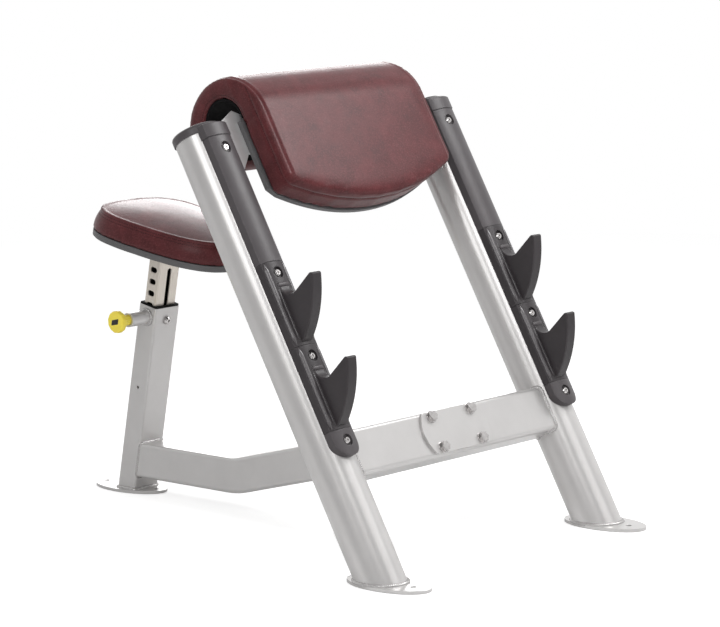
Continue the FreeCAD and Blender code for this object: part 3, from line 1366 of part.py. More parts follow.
make_all()
doc.recompute()
check_document()
os.makedirs("parts", exist_ok=True)
for piece in PARTS:
    piece.Shape.exportStep(os.path.join("parts", piece.Label + ".step"))
    print(piece.Label, len(piece.Shape.Solids), round(piece.Shape.Volume))
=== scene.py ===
"""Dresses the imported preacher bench: finishes, welds, padded covers, pull knob, light and camera."""

import logging
import math
from dataclasses import dataclass, field, replace
from enum import Enum
from typing import Callable, Sequence

import bmesh
import bpy
import numpy as np
from mathutils import Matrix


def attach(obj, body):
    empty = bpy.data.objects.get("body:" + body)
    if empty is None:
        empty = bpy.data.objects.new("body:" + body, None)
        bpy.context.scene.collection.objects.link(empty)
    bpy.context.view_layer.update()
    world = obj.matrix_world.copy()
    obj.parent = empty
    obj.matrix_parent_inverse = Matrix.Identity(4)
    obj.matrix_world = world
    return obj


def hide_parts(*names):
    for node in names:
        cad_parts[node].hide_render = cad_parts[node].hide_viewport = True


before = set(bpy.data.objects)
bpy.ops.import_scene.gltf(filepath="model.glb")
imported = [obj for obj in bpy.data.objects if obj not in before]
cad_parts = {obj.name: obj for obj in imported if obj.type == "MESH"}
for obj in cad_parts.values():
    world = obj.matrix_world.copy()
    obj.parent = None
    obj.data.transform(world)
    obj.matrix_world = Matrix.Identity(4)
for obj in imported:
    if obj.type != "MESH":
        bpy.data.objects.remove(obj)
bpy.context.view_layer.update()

Array = np.ndarray
Socket = bpy.types.NodeSocket
Thing = bpy.types.Object
LOG = logging.getLogger("preacher_bench")

FULL_TURN = 2 * math.pi
# Pitch of the points along a weld and along a sewn seam
WELD_STEP = 0.001
SEAM_STEP = 0.002
# Share of the facing direction in a weld's lift, on flat joints and round the foot of a member
LIFT_SHARE = 0.8
STEEP_LIFT_SHARE = 0.9
# Values that most of a noise lies between, and the brightest screen value of a painted colour
NOISE_BAND = (0.3, 0.7)
BRIGHTEST = 252


class Body(Enum):
    """Moving body of the bench that a piece rides on."""

    FRAME = "frame"
    SEAT = "seat"
    PULL_PIN = "pull_pin"


class Way(Enum):
    """Side of the bench, as the sign of its X."""

    LEFT = -1
    RIGHT = 1


# Frames that the slanting members are drawn in


@dataclass(frozen=True)
class LeaningFrame:
    """Frame of a leaning member: across is X, out stands square off its front, and climb runs up its axis."""

    foot: float
    lean: float

    def world(self, across: Array | float, out: Array | float, climb: Array | float) -> Array:
        """Turn places in the leaning frame into points of the bench.

        y is foot + climb sin(lean) - out cos(lean), and z is climb cos(lean) + out sin(lean).

        Args:
            across: Distance to the side, the same as X.
            out: Distance in front of the member's axis.
            climb: Distance up the member's axis from the floor.

        Returns:
            Points, one row each, or one point.
        """
        sine, cosine = math.sin(self.lean), math.cos(self.lean)
        across, out, climb = np.broadcast_arrays(*(np.asarray(v, float) for v in (across, out, climb)))
        behind = self.foot + climb * sine - out * cosine
        return np.stack([across, behind, climb * cosine + out * sine], axis=-1)

    def facing(self) -> Array:
        """Direction that stands square off the member's front."""
        return np.array([0.0, -math.cos(self.lean), math.sin(self.lean)])

    def rising(self) -> Array:
        """Direction up the member's axis."""
        return np.array([0.0, math.sin(self.lean), math.cos(self.lean)])


RAKE = LeaningFrame(-0.5385, math.radians(29.35))
POST = LeaningFrame(0.5389, -math.radians(11.71))
HALF_SPACING = 0.3531
TUBE_RADIUS = 0.0508


# Meshes worked out as whole arrays


def unit_rows(vectors: Array) -> Array:
    """Vectors of length one, row by row."""
    return vectors / np.maximum(np.linalg.norm(vectors, axis=-1, keepdims=True), 1e-12)


def grid_faces(rows: int, columns: int, closed_rows: bool, closed_columns: bool) -> Array:
    """Number the corners of the quads of a grid of points.

    Args:
        rows: Count of points in the first parameter.
        columns: Count of points in the second parameter.
        closed_rows: Whether the last row joins the first.
        closed_columns: Whether the last column joins the first.

    Returns:
        Four vertex numbers a row.
    """
    row = np.arange(rows if closed_rows else rows - 1)[:, None]
    column = np.arange(columns if closed_columns else columns - 1)[None, :]
    next_row, next_column = (row + 1) % rows, (column + 1) % columns
    corners = [row * columns + column, next_row * columns + column, next_row * columns + next_column,
               row * columns + next_column]
    return np.stack([np.broadcast_to(c, (row.size, column.size)) for c in corners], axis=-1).reshape(-1, 4)


def lay_mesh(name: str, points: Array, faces: Sequence[Sequence[int]]) -> Thing:
    """Put points and faces into a new smooth-shaded piece, with its faces turned outward.

    Args:
        name: Name of the piece.
        points: Points in any array whose last axis is X, Y and Z.
        faces: Lists of vertex numbers.

    Returns:
        The new piece, linked to the scene.
    """
    mesh = bpy.data.meshes.new(name)
    mesh.from_pydata(np.asarray(points, float).reshape(-1, 3).tolist(), [], [list(f) for f in faces])
    tidy = bmesh.new()
    tidy.from_mesh(mesh)
    bmesh.ops.remove_doubles(tidy, verts=tidy.verts, dist=1e-6)
    bmesh.ops.recalc_face_normals(tidy, faces=tidy.faces)
    tidy.to_mesh(mesh)
    tidy.free()
    mesh.polygons.foreach_set("use_smooth", np.ones(len(mesh.polygons), bool))
    mesh.update()
    piece = bpy.data.objects.new(name, mesh)
    bpy.context.scene.collection.objects.link(piece)
    return piece


def tube_faces(rows: int, columns: int, closed_rows: bool) -> list[list[int]]:
    """Faces of a tube of rings, with a flat face over each end unless it closes on itself.

    Args:
        rows: Count of rings.
        columns: Points round a ring.
        closed_rows: Whether the last ring joins the first.

    Returns:
        Lists of vertex numbers.
    """
    faces = grid_faces(rows, columns, closed_rows, True).tolist()
    if not closed_rows:
        faces += [list(range(columns)), list(range((rows - 1) * columns, rows * columns))]
    return faces


def tangents(path: Array, closed: bool) -> Array:
    """Direction along a path at each of its points, from its neighbours.

    Args:
        path: Points of the path, one row each.
        closed: Whether the path ends where it starts.

    Returns:
        Vectors of length one.
    """
    if closed:
        return unit_rows(np.roll(path, -1, axis=0) - np.roll(path, 1, axis=0))
    return unit_rows(np.gradient(path, axis=0))


def squared(lift: Array, along: Array) -> Array:
    """Directions square to a path: lift - (lift . along) along, brought to length one."""
    return unit_rows(lift - (lift * along).sum(axis=1, keepdims=True) * along)


def round_turns(count: int) -> Array:
    """Turns at equal steps round a full circle."""
    return np.linspace(0, FULL_TURN, count, endpoint=False)


def evenly(path: Array, pitch: float, closed: bool) -> Array:
    """Lay points at one pitch along a path.

    The path's own points are joined by straight runs, and the new points divide its length equally.

    Args:
        path: Points of the path, one row each.
        pitch: Wanted distance between the new points.
        closed: Whether the path ends where it starts.

    Returns:
        The new points, one row each.
    """
    line = np.vstack([path, path[:1]]) if closed else path
    gone = np.concatenate([[0], np.cumsum(np.linalg.norm(np.diff(line, axis=0), axis=1))])
    count = max(int(round(gone[-1] / pitch)), 3)
    wanted = np.linspace(0, gone[-1], count if closed else count + 1, endpoint=not closed)
    return np.stack([np.interp(wanted, gone, line[:, axis]) for axis in range(3)], axis=1)


def eased(path: Array, reach: int, closed: bool) -> Array:
    """Round a path's corners: each point becomes the weighted mean of the points within reach of it.

    Args:
        path: Points of the path, one row each.
        reach: Count of neighbours on either side.
        closed: Whether the path ends where it starts.

    Returns:
        As many points as before.
    """
    weights = np.hanning(2 * reach + 3)[1:-1]
    weights /= weights.sum()
    padded = np.pad(path, ((reach, reach), (0, 0)), mode="wrap" if closed else "edge")
    return np.stack([np.convolve(padded[:, axis], weights, mode="valid") for axis in range(3)], axis=1)


def rounded_box_path(half_width: float, half_height: float, corner: float, count: int = 9) -> Array:
    """Outline of a rounded rectangle: four quarter circles joined by straight runs.

    Args:
        half_width: Half of its width.
        half_height: Half of its height.
        corner: Radius of its corners.
        count: Points to a corner.

    Returns:
        Places across and up, one row each, anticlockwise.
    """
    turn = np.linspace(0, math.pi / 2, count)
    quarters = []
    for number, (across, up) in enumerate(((1, 1), (-1, 1), (-1, -1), (1, -1))):
        spin = turn + number * math.pi / 2
        centre = np.array([across * (half_width - corner), up * (half_height - corner)])
        quarters.append(centre + corner * np.stack([np.cos(spin), np.sin(spin)], axis=1))
    return np.vstack(quarters)


def turned_piece(name: str, centre: Array, axis: Array, profile: Array, sides: int,
                 waist: Callable[[Array, Array], Array] | None = None) -> Thing:
    """Turn a profile round an axis.

    A point is centre + axis * place + radius (across cos turn + over sin turn), where the radius may be
    drawn in by a share that depends on the turn and on the row.

    Args:
        name: Name of the piece.
        centre: Point on the axis where places are counted from.
        axis: Direction of the axis.
        profile: Place along the axis and radius, one row each.
        sides: Points round the axis.
        waist: Share to scale the radius by, from a row of turns and a column of row numbers.

    Returns:
        The closed piece.
    """
    axis = unit_rows(np.asarray(axis, float))
    any_other_way = [0.0, 0.31, 0.95]
    across = unit_rows(np.cross(axis, any_other_way))
    over = np.cross(axis, across)
    turn = round_turns(sides)[None, :]
    radius = profile[:, 1][:, None] * np.ones_like(turn)
    if waist is not None:
        radius = radius * waist(turn, np.arange(len(profile))[:, None])
    round_axis = np.cos(turn)[..., None] * across + np.sin(turn)[..., None] * over
    points = np.asarray(centre) + profile[:, 0][:, None, None] * axis + radius[..., None] * round_axis
    return lay_mesh(name, points, tube_faces(len(profile), sides, False))


Seam = tuple[Array, Array, bool]


@dataclass(frozen=True)
class Bead:
    """Half width, half thickness and ripple length of a weld bead, or of a moulded rail with no ripple."""

    half_width: float = 0.0042
    height: float = 0.0026
    pitch: float = 0.0042
    sides: int = 10
    swell_across: float = 0.1
    low_share: float = 0.82
    swell_over: float = 0.3
    wander: float = 0.35
    wander_pace: float = 61.0
    taper_points: int = 3
    tip_share: float = 0.25

    def ripple(self, place: Array) -> Array:
        """Swell the bead along the seam by the size of a cosine whose phase wanders a little.

        Args:
            place: Distance along the seam.

        Returns:
            Ripple of 0 to 1.
        """
        if not self.pitch:
            return np.zeros_like(place)
        phase = math.pi * place / self.pitch + self.wander * np.sin(place * self.wander_pace)
        return np.abs(np.cos(phase))

    def rings(self, path: Array, lift: Array, closed: bool) -> Array:
        """Rings of the bead along a path.

        Each ring is an ellipse, half_width across the seam and height along lift. The ripple swells it,
        and an open bead tapers at both ends.

        Args:
            path: Points along the seam, close together.
            lift: Direction off the seam at each point.
            closed: Whether the bead runs round to its start.

        Returns:
            Rings of points.
        """
        along = tangents(path, closed)
        lift = squared(lift, along)
        side = np.cross(along, lift)
        place = np.arange(len(path)) * np.linalg.norm(path[1] - path[0])
        ripple = self.ripple(place)[:, None, None]
        taper = np.ones(len(path))
        if not closed:
            share = np.linspace(0, 1, len(path))
            taper = np.clip(np.minimum(share, 1 - share) * len(path) / self.taper_points, self.tip_share, 1)
        turn = round_turns(self.sides)[None, :, None]
        across = self.half_width * (1 + self.swell_across * ripple) * np.cos(turn) * side[:, None, :]
        over = self.height * (self.low_share + self.swell_over * ripple) * np.sin(turn) * lift[:, None, :]
        return path[:, None, :] + (across + over) * taper[:, None, None]

    def laid(self, name: str, seams: Sequence[Seam]) -> Thing:
        """Lay the bead along one or more seams, as one piece.

        Args:
            name: Name of the piece.
            seams: Path, lift at each of its points, and whether it is closed, for each seam.

        Returns:
            The piece.
        """
        points, faces, count = [], [], 0
        for path, lift, closed in seams:
            rings = self.rings(path, lift, closed)
            faces += [[count + v for v in face] for face in tube_faces(len(rings), self.sides, closed)]
            points.append(rings.reshape(-1, 3))
            count += points[-1].shape[0]
        return lay_mesh(name, np.vstack(points), faces)


@dataclass(frozen=True)
class Stitch:
    """Pitch of the stitches along a seam, and the length, half width and flatness of each thread."""

    pitch: float = 0.0052
    length: float = 0.0036
    radius: float = 0.0007
    flat_share: float = 0.7
    stand: float = 0.0001
    sides: int = 6
    ring_shares: tuple[float, ...] = (-0.98, -0.66, 0.0, 0.66, 0.98)

    def strung(self, name: str, path: Array, lift: Array, closed: bool) -> Thing:
        """Row of short threads along a seam, one at each point of the path, just off the surface.

        A thread is an ellipsoid of rings: its radius follows the root of one less the square of the place
        along it, and its thickness off the surface is the flat share of its width.

        Args:
            name: Name of the piece.
            path: Middle of each thread, on the surface.
            lift: Direction off the surface at each.
            closed: Whether the path runs round to its start.

        Returns:
            The piece.
        """
        path = path + lift * self.stand
        along = tangents(path, closed)
        lift = squared(lift, along)
        side = np.cross(along, lift)
        place = np.array(self.ring_shares)[:, None]
        swell = self.radius * np.sqrt(1 - place ** 2)
        turn = round_turns(self.sides)
        unit = np.stack(np.broadcast_arrays(place * self.length / 2, swell * np.cos(turn),
                                            self.flat_share * swell * np.sin(turn)), axis=-1).reshape(-1, 3)
        points = path[:, None, :] + np.einsum("ua,pad->pud", unit, np.stack([along, side, lift], axis=1))
        starts = np.arange(len(path)) * len(unit)
        one = grid_faces(len(place), self.sides, False, True)
        many = (one[None] + starts[:, None, None]).reshape(-1, 4).tolist()
        last = len(unit) - self.sides
        firsts = (starts[:, None] + [0, last]).ravel().tolist()
        ends = [list(range(first, first + self.sides)) for first in firsts]
        return lay_mesh(name, points, many + ends)


# Soft shapes read and moved as arrays

PATH_BATCH = 16


def read_shape(piece: Thing) -> tuple[Array, Array]:
    """Read the vertices of a piece's mesh.

    Args:
        piece: The piece.

    Returns:
        Places and vertex normals, one row each.
    """
    count = len(piece.data.vertices)
    places, normals = np.empty(count * 3, np.float32), np.empty(count * 3, np.float32)
    piece.data.vertices.foreach_get("co", places)
    piece.data.vertex_normals.foreach_get("vector", normals)
    return places.reshape(-1, 3).astype(float), normals.reshape(-1, 3).astype(float)


def write_shape(piece: Thing, places: Array) -> None:
    """Put vertices back into a piece's mesh."""
    piece.data.vertices.foreach_set("co", places.astype(np.float32).ravel())
    piece.data.update()


def evened(piece: Thing, values: Array, rounds: int) -> Array:
    """Calm a value given at each vertex: each round moves it half way to the mean of its neighbours' values.

    Args:
        piece: Piece whose vertices hold the values.
        values: One value a vertex.
        rounds: Count of rounds.

    Returns:
        The calmer values.
    """
    edges = np.empty(len(piece.data.edges) * 2, np.int32)
    piece.data.edges.foreach_get("vertices", edges)
    edges = edges.reshape(-1, 2)
    here, there = np.concatenate([edges, edges[:, ::-1]]).T
    neighbours = np.maximum(np.bincount(here, minlength=len(values)), 1)
    for _ in range(rounds):
        values = (values + np.bincount(here, weights=values[there], minlength=len(values)) / neighbours) / 2
    return values


def gaps_to(places: Array, path: Array) -> Array:
    """Distance from each vertex to the nearest point of a path, worked out a few path points at a time.

    Args:
        places: Vertices, one row each.
        path: Points of the path.

    Returns:
        One distance a vertex.
    """
    nearest = np.full(len(places), np.inf)
    for start in range(0, len(path), PATH_BATCH):
        some = path[start:start + PATH_BATCH]
        nearest = np.minimum(nearest, ((places[:, None, :] - some[None]) ** 2).sum(axis=2).min(axis=1))
    return np.sqrt(nearest)


def press_line(piece: Thing, path: Array, width: float, depth: float) -> None:
    """Press a line into a soft surface, or raise it where the depth is below nothing.

    A vertex moves in along its normal by depth times the bell curve of its distance from the line over width.

    Args:
        piece: The soft piece.
        path: Points of the line, at most half a width apart.
        width: Distance at which the bell curve has fallen to a third.
        depth: Depth of the line.
    """
    places, normals = read_shape(piece)
    low, high = path.min(axis=0) - 3 * width, path.max(axis=0) + 3 * width
    near = np.flatnonzero(((places > low) & (places < high)).all(axis=1))
    gap = gaps_to(places[near], path)
    places[near] -= normals[near] * (depth * np.exp(-((gap / width) ** 2)))[:, None]
    write_shape(piece, places)


def settle(piece: Thing, path: Array, closed: bool) -> tuple[Array, Array]:
    """Drop a line on to a soft surface.

    Each point moves square on to the plane through the nearest vertex, and the line is then eased.

    Args:
        piece: The soft piece.
        path: Points near its surface.
        closed: Whether the line runs round to its start.

    Returns:
        Points on the surface and the surface's direction outward at each.
    """
    places, normals = read_shape(piece)
    nearest = np.empty(len(path), int)
    for start in range(0, len(path), PATH_BATCH):
        some = path[start:start + PATH_BATCH]
        gap = ((places[:, None, :] - some[None]) ** 2).sum(axis=2)
        nearest[start:start + PATH_BATCH] = gap.argmin(axis=0)
    outward = unit_rows(eased(normals[nearest], 3, closed))
    off = ((path - places[nearest]) * outward).sum(axis=1, keepdims=True)
    return eased(path - off * outward, 2, closed), outward


@dataclass(frozen=True)
class Stuffing:
    """How a padded cover is filled: remeshed, blown up as cloth, held back where it rests, and smoothed."""

    voxel: float = 0.006
    pressure: float = 4.0
    shrink: float = 0.002
    most: float = 0.0045
    frames: int = 20
    evening: int = 24
    smoothing: int = 2
    stiffness: float = 25.0
    quality: int = 4

    @staticmethod
    def _baked(piece: Thing) -> None:
        """Give a piece the mesh that its modifiers make, and take them off.

        Args:
            piece: The piece.
        """
        graph = bpy.context.evaluated_depsgraph_get()
        mesh = bpy.data.meshes.new_from_object(piece.evaluated_get(graph), depsgraph=graph)
        old = piece.data
        piece.modifiers.clear()
        piece.data = mesh
        bpy.data.meshes.remove(old)

    def fill(self, node: str, name: str, rest_share: Callable[[Array], Array]) -> Thing:
        """Blow up a copy of a solid into a padded cover.

        Args:
            node: Solid to start from.
            name: Name of the new piece.
            rest_share: How free each point is to move, from 0 where the cover rests on something to 1.

        Returns:
            The padded piece.
        """
        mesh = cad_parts[node].data.copy()
        mesh.name = name
        mesh.materials.clear()
        merged = bmesh.new()
        merged.from_mesh(mesh)
        bmesh.ops.remove_doubles(merged, verts=merged.verts, dist=1e-5)
        merged.to_mesh(mesh)
        merged.free()
        piece = bpy.data.objects.new(name, mesh)
        bpy.context.scene.collection.objects.link(piece)
        remesh = piece.modifiers.new("remesh", "REMESH")
        remesh.mode = "VOXEL"
        remesh.voxel_size = self.voxel
        remesh.use_smooth_shade = True
        self._baked(piece)
        places, normals = read_shape(piece)
        free = rest_share(places)[:, None]
        start = places - normals * self.shrink * free
        write_shape(piece, start)
        swell = ((self._blown(piece) - start) * normals).sum(axis=1)
        swell = evened(piece, np.clip(swell, 0, self.most * free[:, 0]), self.evening)
        start = start + normals * np.minimum(swell, self.most * free[:, 0])[:, None]
        write_shape(piece, start)
        smooth = piece.modifiers.new("smooth", "SMOOTH")
        smooth.factor, smooth.iterations = 0.5, self.smoothing
        finer = piece.modifiers.new("finer", "SUBSURF")
        finer.levels = finer.render_levels = 1
        self._baked(piece)
        piece.data.polygons.foreach_set("use_smooth", np.ones(len(piece.data.polygons), bool))
        return piece

    def _blown(self, piece: Thing) -> Array:
        """Run a piece as cloth under pressure, with no gravity.

        Args:
            piece: The piece, which stays as it was.

        Returns:
            Its vertices at the last frame.
        """
        cloth = piece.modifiers.new("cloth", "CLOTH")
        settings = cloth.settings
        settings.use_pressure = True
        settings.uniform_pressure_force = self.pressure
        settings.effector_weights.gravity = 0.0
        settings.quality = self.quality
        settings.tension_stiffness = settings.compression_stiffness = self.stiffness
        scene = bpy.context.scene
        for number in range(1, self.frames + 1):
            scene.frame_set(number)
        graph = bpy.context.evaluated_depsgraph_get()
        shown = piece.evaluated_get(graph)
        places = np.empty(len(shown.data.vertices) * 3, np.float32)
        shown.data.vertices.foreach_get("co", places)
        piece.modifiers.remove(cloth)
        scene.frame_set(1)
        return places.reshape(-1, 3).astype(float)


# Finishes


def linear(colour: Sequence[float]) -> tuple[float, float, float, float]:
    """Colour for a shader, by the standard screen curve.

    Args:
        colour: Screen values of 0 to 255.

    Returns:
        Linear red, green and blue, and full opacity.
    """
    shares = [c / 255 for c in colour]
    light = [s / 12.92 if s <= 0.04045 else ((s + 0.055) / 1.055) ** 2.4 for s in shares]
    return (light[0], light[1], light[2], 1.0)


class Recipe:
    """Lays out the nodes of one material on the piece's own Object coordinates."""

    def __init__(self, label: str) -> None:
        """Start a material with a Principled shader and an output.

        Args:
            label: Name of the material.
        """
        self.material = bpy.data.materials.new(label)
        self.material.use_nodes = True
        self.tree = self.material.node_tree
        self.tree.nodes.clear()
        self.shader = self.tree.nodes.new("ShaderNodeBsdfPrincipled")
        output = self.tree.nodes.new("ShaderNodeOutputMaterial")
        self.link(self.shader.outputs["BSDF"], output.inputs["Surface"])
        self.place = self.tree.nodes.new("ShaderNodeTexCoord").outputs["Object"]

    def link(self, start: Socket, end: Socket) -> None:
        """Join two sockets."""
        self.tree.links.new(start, end)

    def feed(self, node: bpy.types.Node, name: str | int, value: Socket | float | Sequence[float]) -> None:
        """Set an input to a number or colour, or join another node's output to it.

        Args:
            node: Node that has the input.
            name: Name or place of the input.
            value: What it gets.
        """
        if isinstance(value, bpy.types.NodeSocket):
            self.link(value, node.inputs[name])
        else:
            node.inputs[name].default_value = value

    def turned(self, turn: Sequence[float] = (0, 0, 0), stretch: Sequence[float] = (1, 1, 1)) -> Socket:
        """Turn Object coordinates and then scale them along each axis.

        Args:
            turn: Turns about X, Y and Z.
            stretch: Scale along each axis.

        Returns:
            The coordinates.
        """
        node = self.tree.nodes.new("ShaderNodeMapping")
        node.vector_type = "TEXTURE"
        self.feed(node, "Vector", self.place)
        node.inputs["Rotation"].default_value = turn
        node.inputs["Scale"].default_value = stretch
        return node.outputs["Vector"]

    def along(self, way: Sequence[float]) -> Socket:
        """Measure how far the place lies along a direction from the origin.

        Args:
            way: The direction.

        Returns:
            The distance.
        """
        node = self.tree.nodes.new("ShaderNodeVectorMath")
        node.operation = "DOT_PRODUCT"
        self.feed(node, 0, self.place)
        self.feed(node, 1, [float(w) for w in way])
        return node.outputs["Value"]

    def noise(self, size: float, detail: float = 2.0, rough: float = 0.5,
              place: Socket | None = None) -> Socket:
        """Make cloudy noise.

        Args:
            size: About how wide its features are.
            detail: Count of finer layers.
            rough: Share that each finer layer keeps.
            place: Coordinates to use instead of the piece's own.

        Returns:
            Value of 0 to 1.
        """
        node = self.tree.nodes.new("ShaderNodeTexNoise")
        self.feed(node, "Vector", place or self.place)
        self.feed(node, "Scale", 1 / size)
        self.feed(node, "Detail", detail)
        self.feed(node, "Roughness", rough)
        return node.outputs["Fac"]

    def cells(self, size: float) -> Socket:
        """Make a pattern of cells.

        Args:
            size: About how far apart they lie.

        Returns:
            Distance from the nearest cell's middle, as a share of their size.
        """
        node = self.tree.nodes.new("ShaderNodeTexVoronoi")
        self.feed(node, "Vector", self.place)
        self.feed(node, "Scale", 1 / size)
        return node.outputs["Distance"]

    def span(self, value: Socket, low: float, high: float, new_low: float = 0.0,
             new_high: float = 1.0) -> Socket:
        """Map a range of values to another.

        Args:
            value: The value.
            low: Start of its range.
            high: End of its range.
            new_low: Result at the start.
            new_high: Result at the end.

        Returns:
            The result, held within its range.
        """
        node = self.tree.nodes.new("ShaderNodeMapRange")
        for name, number in (("Value", value), ("From Min", low), ("From Max", high), ("To Min", new_low),
                             ("To Max", new_high)):
            self.feed(node, name, number)
        return node.outputs["Result"]

    def sum_of(self, kind: str, first: Socket | float, second: Socket | float) -> Socket:
        """Do one step of arithmetic.

        Args:
            kind: Name of the step, such as MULTIPLY.
            first: First number.
            second: Second number.

        Returns:
            The result.
        """
        node = self.tree.nodes.new("ShaderNodeMath")
        node.operation = kind
        self.feed(node, 0, first)
        self.feed(node, 1, second)
        return node.outputs["Value"]

    def blend(self, share: Socket | float, first: Socket | Sequence[float],
              second: Socket | Sequence[float]) -> Socket:
        """Mix two colours.

        Args:
            share: Share of the second.
            first: First colour.
            second: Second colour.

        Returns:
            The mixed colour.
        """
        node = self.tree.nodes.new("ShaderNodeMix")
        node.data_type = "RGBA"
        self.feed(node, 0, share)
        self.feed(node, 6, first)
        self.feed(node, 7, second)
        return node.outputs[2]

    def relief(self, height: Socket, depth: float, under: Socket | None, strength: float) -> Socket:
        """Bend the normal by a height of 0 to 1.

        Args:
            height: The height.
            depth: Depth that a height of 1 stands for.
            under: Normal that is bent, if not the surface's own.
            strength: Share of the bend that shows.

        Returns:
            The bent normal.
        """
        node = self.tree.nodes.new("ShaderNodeBump")
        self.feed(node, "Height", height)
        self.feed(node, "Distance", depth)
        self.feed(node, "Strength", strength)
        if under is not None:
            self.feed(node, "Normal", under)
        return node.outputs["Normal"]

    def soft_edges(self, radius: float) -> tuple[Socket, Socket]:
        """Round sharp edges off.

        Args:
            radius: Radius of the rounding.

        Returns:
            The rounded normal, and a mask of 1 along the edges.
        """
        flat, sharp = 0.995, 0.85
        bevel = self.tree.nodes.new("ShaderNodeBevel")
        bevel.samples = 4
        self.feed(bevel, "Radius", radius)
        surface = self.tree.nodes.new("ShaderNodeNewGeometry")
        likeness = self.tree.nodes.new("ShaderNodeVectorMath")
        likeness.operation = "DOT_PRODUCT"
        self.feed(likeness, 0, bevel.outputs["Normal"])
        self.feed(likeness, 1, surface.outputs["Normal"])
        return bevel.outputs["Normal"], self.span(likeness.outputs["Value"], flat, sharp)


@dataclass(frozen=True)
class Finish:
    """A surface's colour, gloss, clouds, fine relief, and edges lightened partly as wear and partly as a
    painted highlight.
    """

    label: str
    colour: tuple[int, int, int]
    roughness: float
    metallic: float = 0.0
    specular: float = 0.5
    cloud_size: float = 0.07
    cloud_share: float = 0.08
    grain_size: float = 0.0006
    grain_depth: float = 0.00004
    edge_radius: float = 0.0012
    # Lighter colour and its share along sharp edges: partly wear, partly a painted highlight
    edge_wear_and_highlight_colour: tuple[int, int, int] | None = None
    edge_wear_and_highlight_share: float = 0.35
    gloss_drift: float = 0.07

    def material(self) -> bpy.types.Material:
        """The finish as a material, made once."""
        made = bpy.data.materials.get(self.label)
        return made or self._mixed()

    def _mixed(self) -> bpy.types.Material:
        """Mix the material from its parts.

        Returns:
            The new material.
        """
        recipe = Recipe(self.label)
        shader = recipe.shader
        for name, number in (("Metallic", self.metallic), ("Specular IOR Level", self.specular)):
            shader.inputs[name].default_value = number
        under, edges = recipe.soft_edges(self.edge_radius) if self.edge_radius else (None, None)
        recipe.feed(shader, "Base Color", self.colouring(recipe, edges))
        recipe.feed(shader, "Roughness", self.sheen(recipe))
        recipe.feed(shader, "Normal", self.surface(recipe, under))
        return recipe.material

    def shade(self, share: float) -> tuple[float, float, float, float]:
        """Shader colour lighter than the finish's own by a share, or darker by a share below nothing."""
        return linear([min(c * (1 + share), BRIGHTEST) for c in self.colour])

    def colouring(self, recipe: Recipe, edges: Socket | None) -> Socket:
        """Cloud the base colour between a darker and a lighter shade; lighten edges as wear and painted
        highlight.

        Args:
            recipe: Recipe of the material.
            edges: Mask of 1 along sharp edges, if any.

        Returns:
            The colour.
        """
        cloud = recipe.span(recipe.noise(self.cloud_size, 3.0, 0.6), *NOISE_BAND)
        shade = recipe.blend(cloud, self.shade(-self.cloud_share), self.shade(self.cloud_share))
        # Sharp edges lighten in patches: partly wear, partly a painted highlight where edges catch the light
        if edges is not None and self.edge_wear_and_highlight_colour:
            patch_size = 0.012
            patchy = recipe.span(recipe.noise(patch_size, 3.0), 0.35, 0.6, 0.3, 1.0)
            worn_and_highlit = recipe.sum_of("MULTIPLY", recipe.sum_of("MULTIPLY", edges, patchy), self.edge_wear_and_highlight_share)
            shade = recipe.blend(worn_and_highlit, shade, linear(self.edge_wear_and_highlight_colour))
        return shade

    def sheen(self, recipe: Recipe) -> Socket:
        """Let the roughness drift a little over the surface.

        Args:
            recipe: Recipe of the material.

        Returns:
            The roughness.
        """
        drift_size = 0.04
        low, high = self.roughness * (1 - self.gloss_drift), self.roughness * (1 + self.gloss_drift)
        return recipe.span(recipe.noise(drift_size, 2.0), *NOISE_BAND, low, high)

    def surface(self, recipe: Recipe, under: Socket | None) -> Socket:
        """Fine grain, over softened edges."""
        return recipe.relief(recipe.noise(self.grain_size, 2.0), self.grain_depth, under, 0.6)


@dataclass(frozen=True)
class BrushedSteel(Finish):
    """Steel tube drawn along the seat post's lean, with long fine lines, and near-black over the walls of its
    bore.
    """

    half_width: float = 0.0288
    half_depth: float = 0.0158
    inside: tuple[int, int, int] = (13, 12, 11)
    stretch: float = 60.0
    line_width: float = 0.0016
    scratch_width: float = 0.0009

    def _lines(self, recipe: Recipe, width: float) -> Socket:
        """Noise stretched many times along the member."""
        place = recipe.turned((-POST.lean, 0, 0), (1, 1, self.stretch))
        return recipe.noise(width, 2.0, 0.6, place)

    def _within(self, recipe: Recipe) -> Socket:
        """Find the tube's bore, which is closer to its axis than the walls, both across and behind.

        Args:
            recipe: Recipe of the material.

        Returns:
            Mask of 1 in the bore.
        """
        across = recipe.sum_of("ABSOLUTE", recipe.along((1, 0, 0)), 0.0)
        facing = POST.facing()
        stand = recipe.sum_of("SUBTRACT", recipe.along(facing), float(facing[1] * POST.foot))
        stand = recipe.sum_of("ABSOLUTE", stand, 0.0)
        return recipe.sum_of("MULTIPLY", recipe.sum_of("LESS_THAN", across, self.half_width),
                             recipe.sum_of("LESS_THAN", stand, self.half_depth))

    def colouring(self, recipe: Recipe, edges: Socket | None) -> Socket:
        """Draw lines a little darker and lighter than the metal, and darken the bore.

        Args:
            recipe: Recipe of the material.
            edges: Mask of 1 along sharp edges, not used: no wear or painted highlight here.

        Returns:
            The colour.
        """
        lines = recipe.span(self._lines(recipe, self.line_width), *NOISE_BAND)
        shade = recipe.blend(lines, self.shade(-self.cloud_share), self.shade(self.cloud_share / 2))
        return recipe.blend(self._within(recipe), shade, linear(self.inside))

    def surface(self, recipe: Recipe, under: Socket | None) -> Socket:
        """Shallow drawn lines."""
        return recipe.relief(self._lines(recipe, self.scratch_width), self.grain_depth, under, 0.5)


